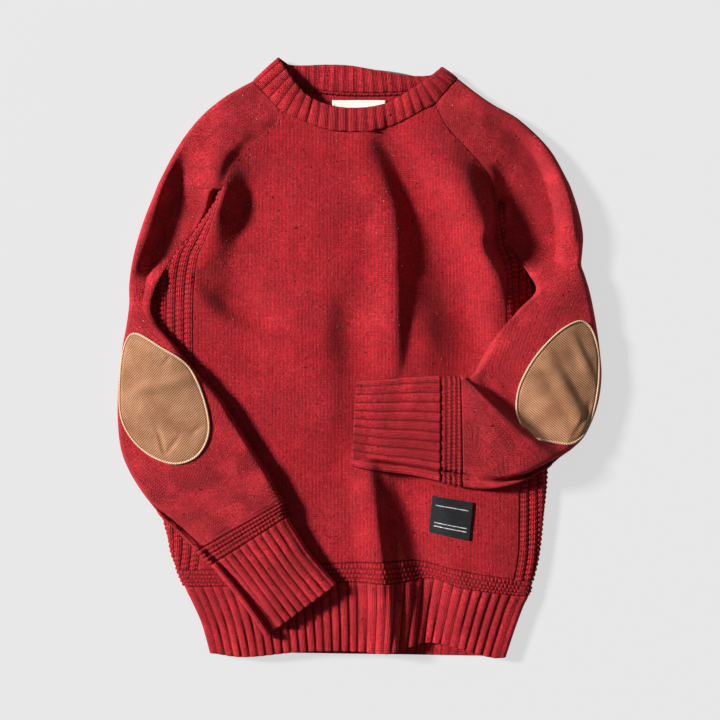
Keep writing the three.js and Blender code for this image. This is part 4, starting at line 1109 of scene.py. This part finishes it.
# ---- lint, pills and hand stitches ----
def blobs(name, places, along, across, high, turns, material):
    """Small rounded lumps joined in one mesh: each two eight-sided rings, with a point above and below."""
    ring = np.linspace(0, 2 * math.pi, 8, endpoint=False)
    shape = np.concatenate([
        np.column_stack([np.cos(ring), np.sin(ring), np.zeros(8)]),
        np.column_stack([0.6 * np.cos(ring), 0.6 * np.sin(ring), np.full(8, 0.8)]),
        [[0, 0, 1.0], [0, 0, -0.8]],
    ])
    a = np.arange(8)
    b = np.roll(a, -1)
    top = np.full(8, 16)
    corners = [(a, b, b + 8), (a, b + 8, a + 8), (a + 8, b + 8, top), (b, a, top + 1)]
    faces = np.concatenate([np.column_stack(three) for three in corners])
    count = len(places)
    size = np.stack([along, across, high], axis=-1)[:, None, :]
    local = shape[None] * size
    c, d = np.cos(turns)[:, None], np.sin(turns)[:, None]
    x = local[..., 0] * c - local[..., 1] * d
    y = local[..., 0] * d + local[..., 1] * c
    points = np.stack([x, y, local[..., 2]], axis=-1) + places[:, None, :]
    every = (faces[None] + (np.arange(count) * len(shape))[:, None, None]).reshape(-1, 3)
    piece = make_object(name, points.reshape(-1, 3), every, np.zeros((count * len(shape), 2)), material)
    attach(piece, "root")


def fluff_material(name, colour):
    n = Nodes(name)
    lint = n.noise(n.where(), 1600, 3)
    n.bump(lint, 0.3 * MM, 0.8)
    return n.finish(n.blend(lint, WOOL_DEEP, colour), 0.95, 0.3, (1, 0.8, 0.8, 1))


def faces_upward(names):
    """Centres of the faces of some pieces that look up, in millimetres."""
    found = []
    for name in names:
        mesh = bpy.data.objects[name].data
        middles = np.empty(len(mesh.polygons) * 3)
        normals = np.empty(len(mesh.polygons) * 3)
        mesh.polygons.foreach_get("center", middles)
        mesh.polygons.foreach_get("normal", normals)
        middles = middles.reshape(-1, 3)
        normals = normals.reshape(-1, 3)
        found.append(middles[(normals[:, 2] > 0.6) & (middles[:, 2] > 0.006)] / MM)
    return np.concatenate(found)


def pills_and_lint():
    seeds = np.random.default_rng(17)
    spots = faces_upward(["front_cloth", "sleeve_left_cloth", "sleeve_right_cloth"])
    for name, count, small, large, colour in (
        ("wool_pills", 1500, 0.35, 0.75, WOOL_PILL), ("pale_lint", 46, 0.4, 0.7, (0.9, 0.72, 0.62, 1)),
    ):
        places = spots[seeds.integers(0, len(spots), count)] + seeds.normal(0, 0.6, (count, 3)) * (1, 1, 0)
        size = seeds.uniform(small, large, count)
        blobs(name, places, size, size * seeds.uniform(0.5, 0.9, count), size * 0.5,
              seeds.uniform(0, math.pi, count), fluff_material(name, colour))


def neck_chain():
    """Chain stitches just under the back collar: slanting pairs of lumps."""
    x = np.arange(-84, 84, 3.3)
    y = line_height(BACK_NECK_LINE, x) - 3.2
    side = np.where(np.arange(len(x)) % 2 == 0, 1, -1)
    places = np.column_stack([x, y, np.full(len(x), 3.1)])
    blobs("neck_chain_stitch", places, np.full(len(x), 1.9), np.full(len(x), 0.9), np.full(len(x), 1.1),
          0.7 * side, rib_knit)


def fashioning_hole_shade():
    """Dark lumps beside the raglan seams for small open holes where stitches were taken in: the holes' shade
    is painted on them.
    """
    places = []
    turns = []
    for seam, side, count in ((SEAM_LEFT, 1, 13), (SEAM_RIGHT, -1, 9)):
        for k, row in enumerate(np.linspace(13.2, 16.7, count)):
            x, y = spline(seam, row - BAND_TOP_ROW) + np.array([side * (3.5 + 3 * (k % 2)), 0])
            places.append([x, y, float(body_top(np.array([x]), np.array([y]))[0]) + 0.1])
            turns.append(side * 0.9)
    count = len(places)
    blobs("fashioning_hole_shade", np.array(places), np.full(count, 1.7), np.full(count, 0.8), np.full(count, 0.3),
          np.array(turns), fluff_material("shadowed_wool", WOOL_PAINTED_SHADE))


pills_and_lint()
neck_chain()
fashioning_hole_shade()


# ---- floor, light and camera ----
def floor():
    plan = [(FLOOR_HALF * x, FLOOR_HALF * y) for x, y in ((-1, -1), (1, -1), (1, 1), (-1, 1))]
    mesh = bpy.data.meshes.new("floor")
    mesh.from_pydata([(x, y, -FLOOR_DROP) for x, y in plan], [], [(0, 1, 2, 3)])
    n = Nodes("floor_paper")
    n.shader.inputs["Base Color"].default_value = (FLOOR_PAINT, FLOOR_PAINT, FLOOR_PAINT, 1)
    n.shader.inputs["Roughness"].default_value = 0.9
    # The floor is dark paper that glows evenly outside an oval round the garment: painted light that lightens
    # the garment's cast shadow on the floor. Inside the oval the glow is cut off, which paints shade under
    # the cloth and in the gaps between its pieces.
    n.shader.inputs["Emission Color"].default_value = (1, 1, 1, 1)
    covered = n.tree.nodes.new("ShaderNodeMapping")
    covered.vector_type = "TEXTURE"
    covered.inputs["Location"].default_value = (0, 0.09, 0)
    covered.inputs["Scale"].default_value = (0.25, 0.24, 1)
    n.put(covered.inputs["Vector"], n.where())
    length = n.tree.nodes.new("ShaderNodeVectorMath")
    length.operation = "LENGTH"
    n.put(length.inputs[0], covered.outputs[0])
    outside = n.maths("GREATER_THAN", length.outputs["Value"], 1.0)
    n.put(n.shader.inputs["Emission Strength"], n.times(outside, FLOOR_GLOW))
    mesh.materials.append(n.material)
    ground = bpy.data.objects.new("floor", mesh)
    bpy.context.scene.collection.objects.link(ground)


def lights():
    sun = bpy.data.lights.new("key", "SUN")
    sun.energy = KEY_STRENGTH
    sun.angle = math.radians(KEY_SOFTNESS)
    key = bpy.data.objects.new("key", sun)
    key.rotation_euler = (0, math.radians(KEY_HEIGHT - 90), math.radians(-KEY_TURN))
    bpy.context.scene.collection.objects.link(key)
    world = bpy.data.worlds.new("soft_room")
    world.use_nodes = True
    world.node_tree.nodes["Background"].inputs[0].default_value = (1, 0.98, 0.96, 1)
    world.node_tree.nodes["Background"].inputs[1].default_value = ROOM_STRENGTH
    bpy.context.scene.world = world


def camera():
    lens = bpy.data.cameras.new("camera")
    lens.lens = CAMERA_LENS
    lens.sensor_width = 36
    view = bpy.data.objects.new("camera", lens)
    view.location = CAMERA_PLACE
    bpy.context.scene.collection.objects.link(view)
    bpy.context.scene.camera = view


floor()
lights()
camera()
bpy.context.scene.view_settings.view_transform = "Standard"
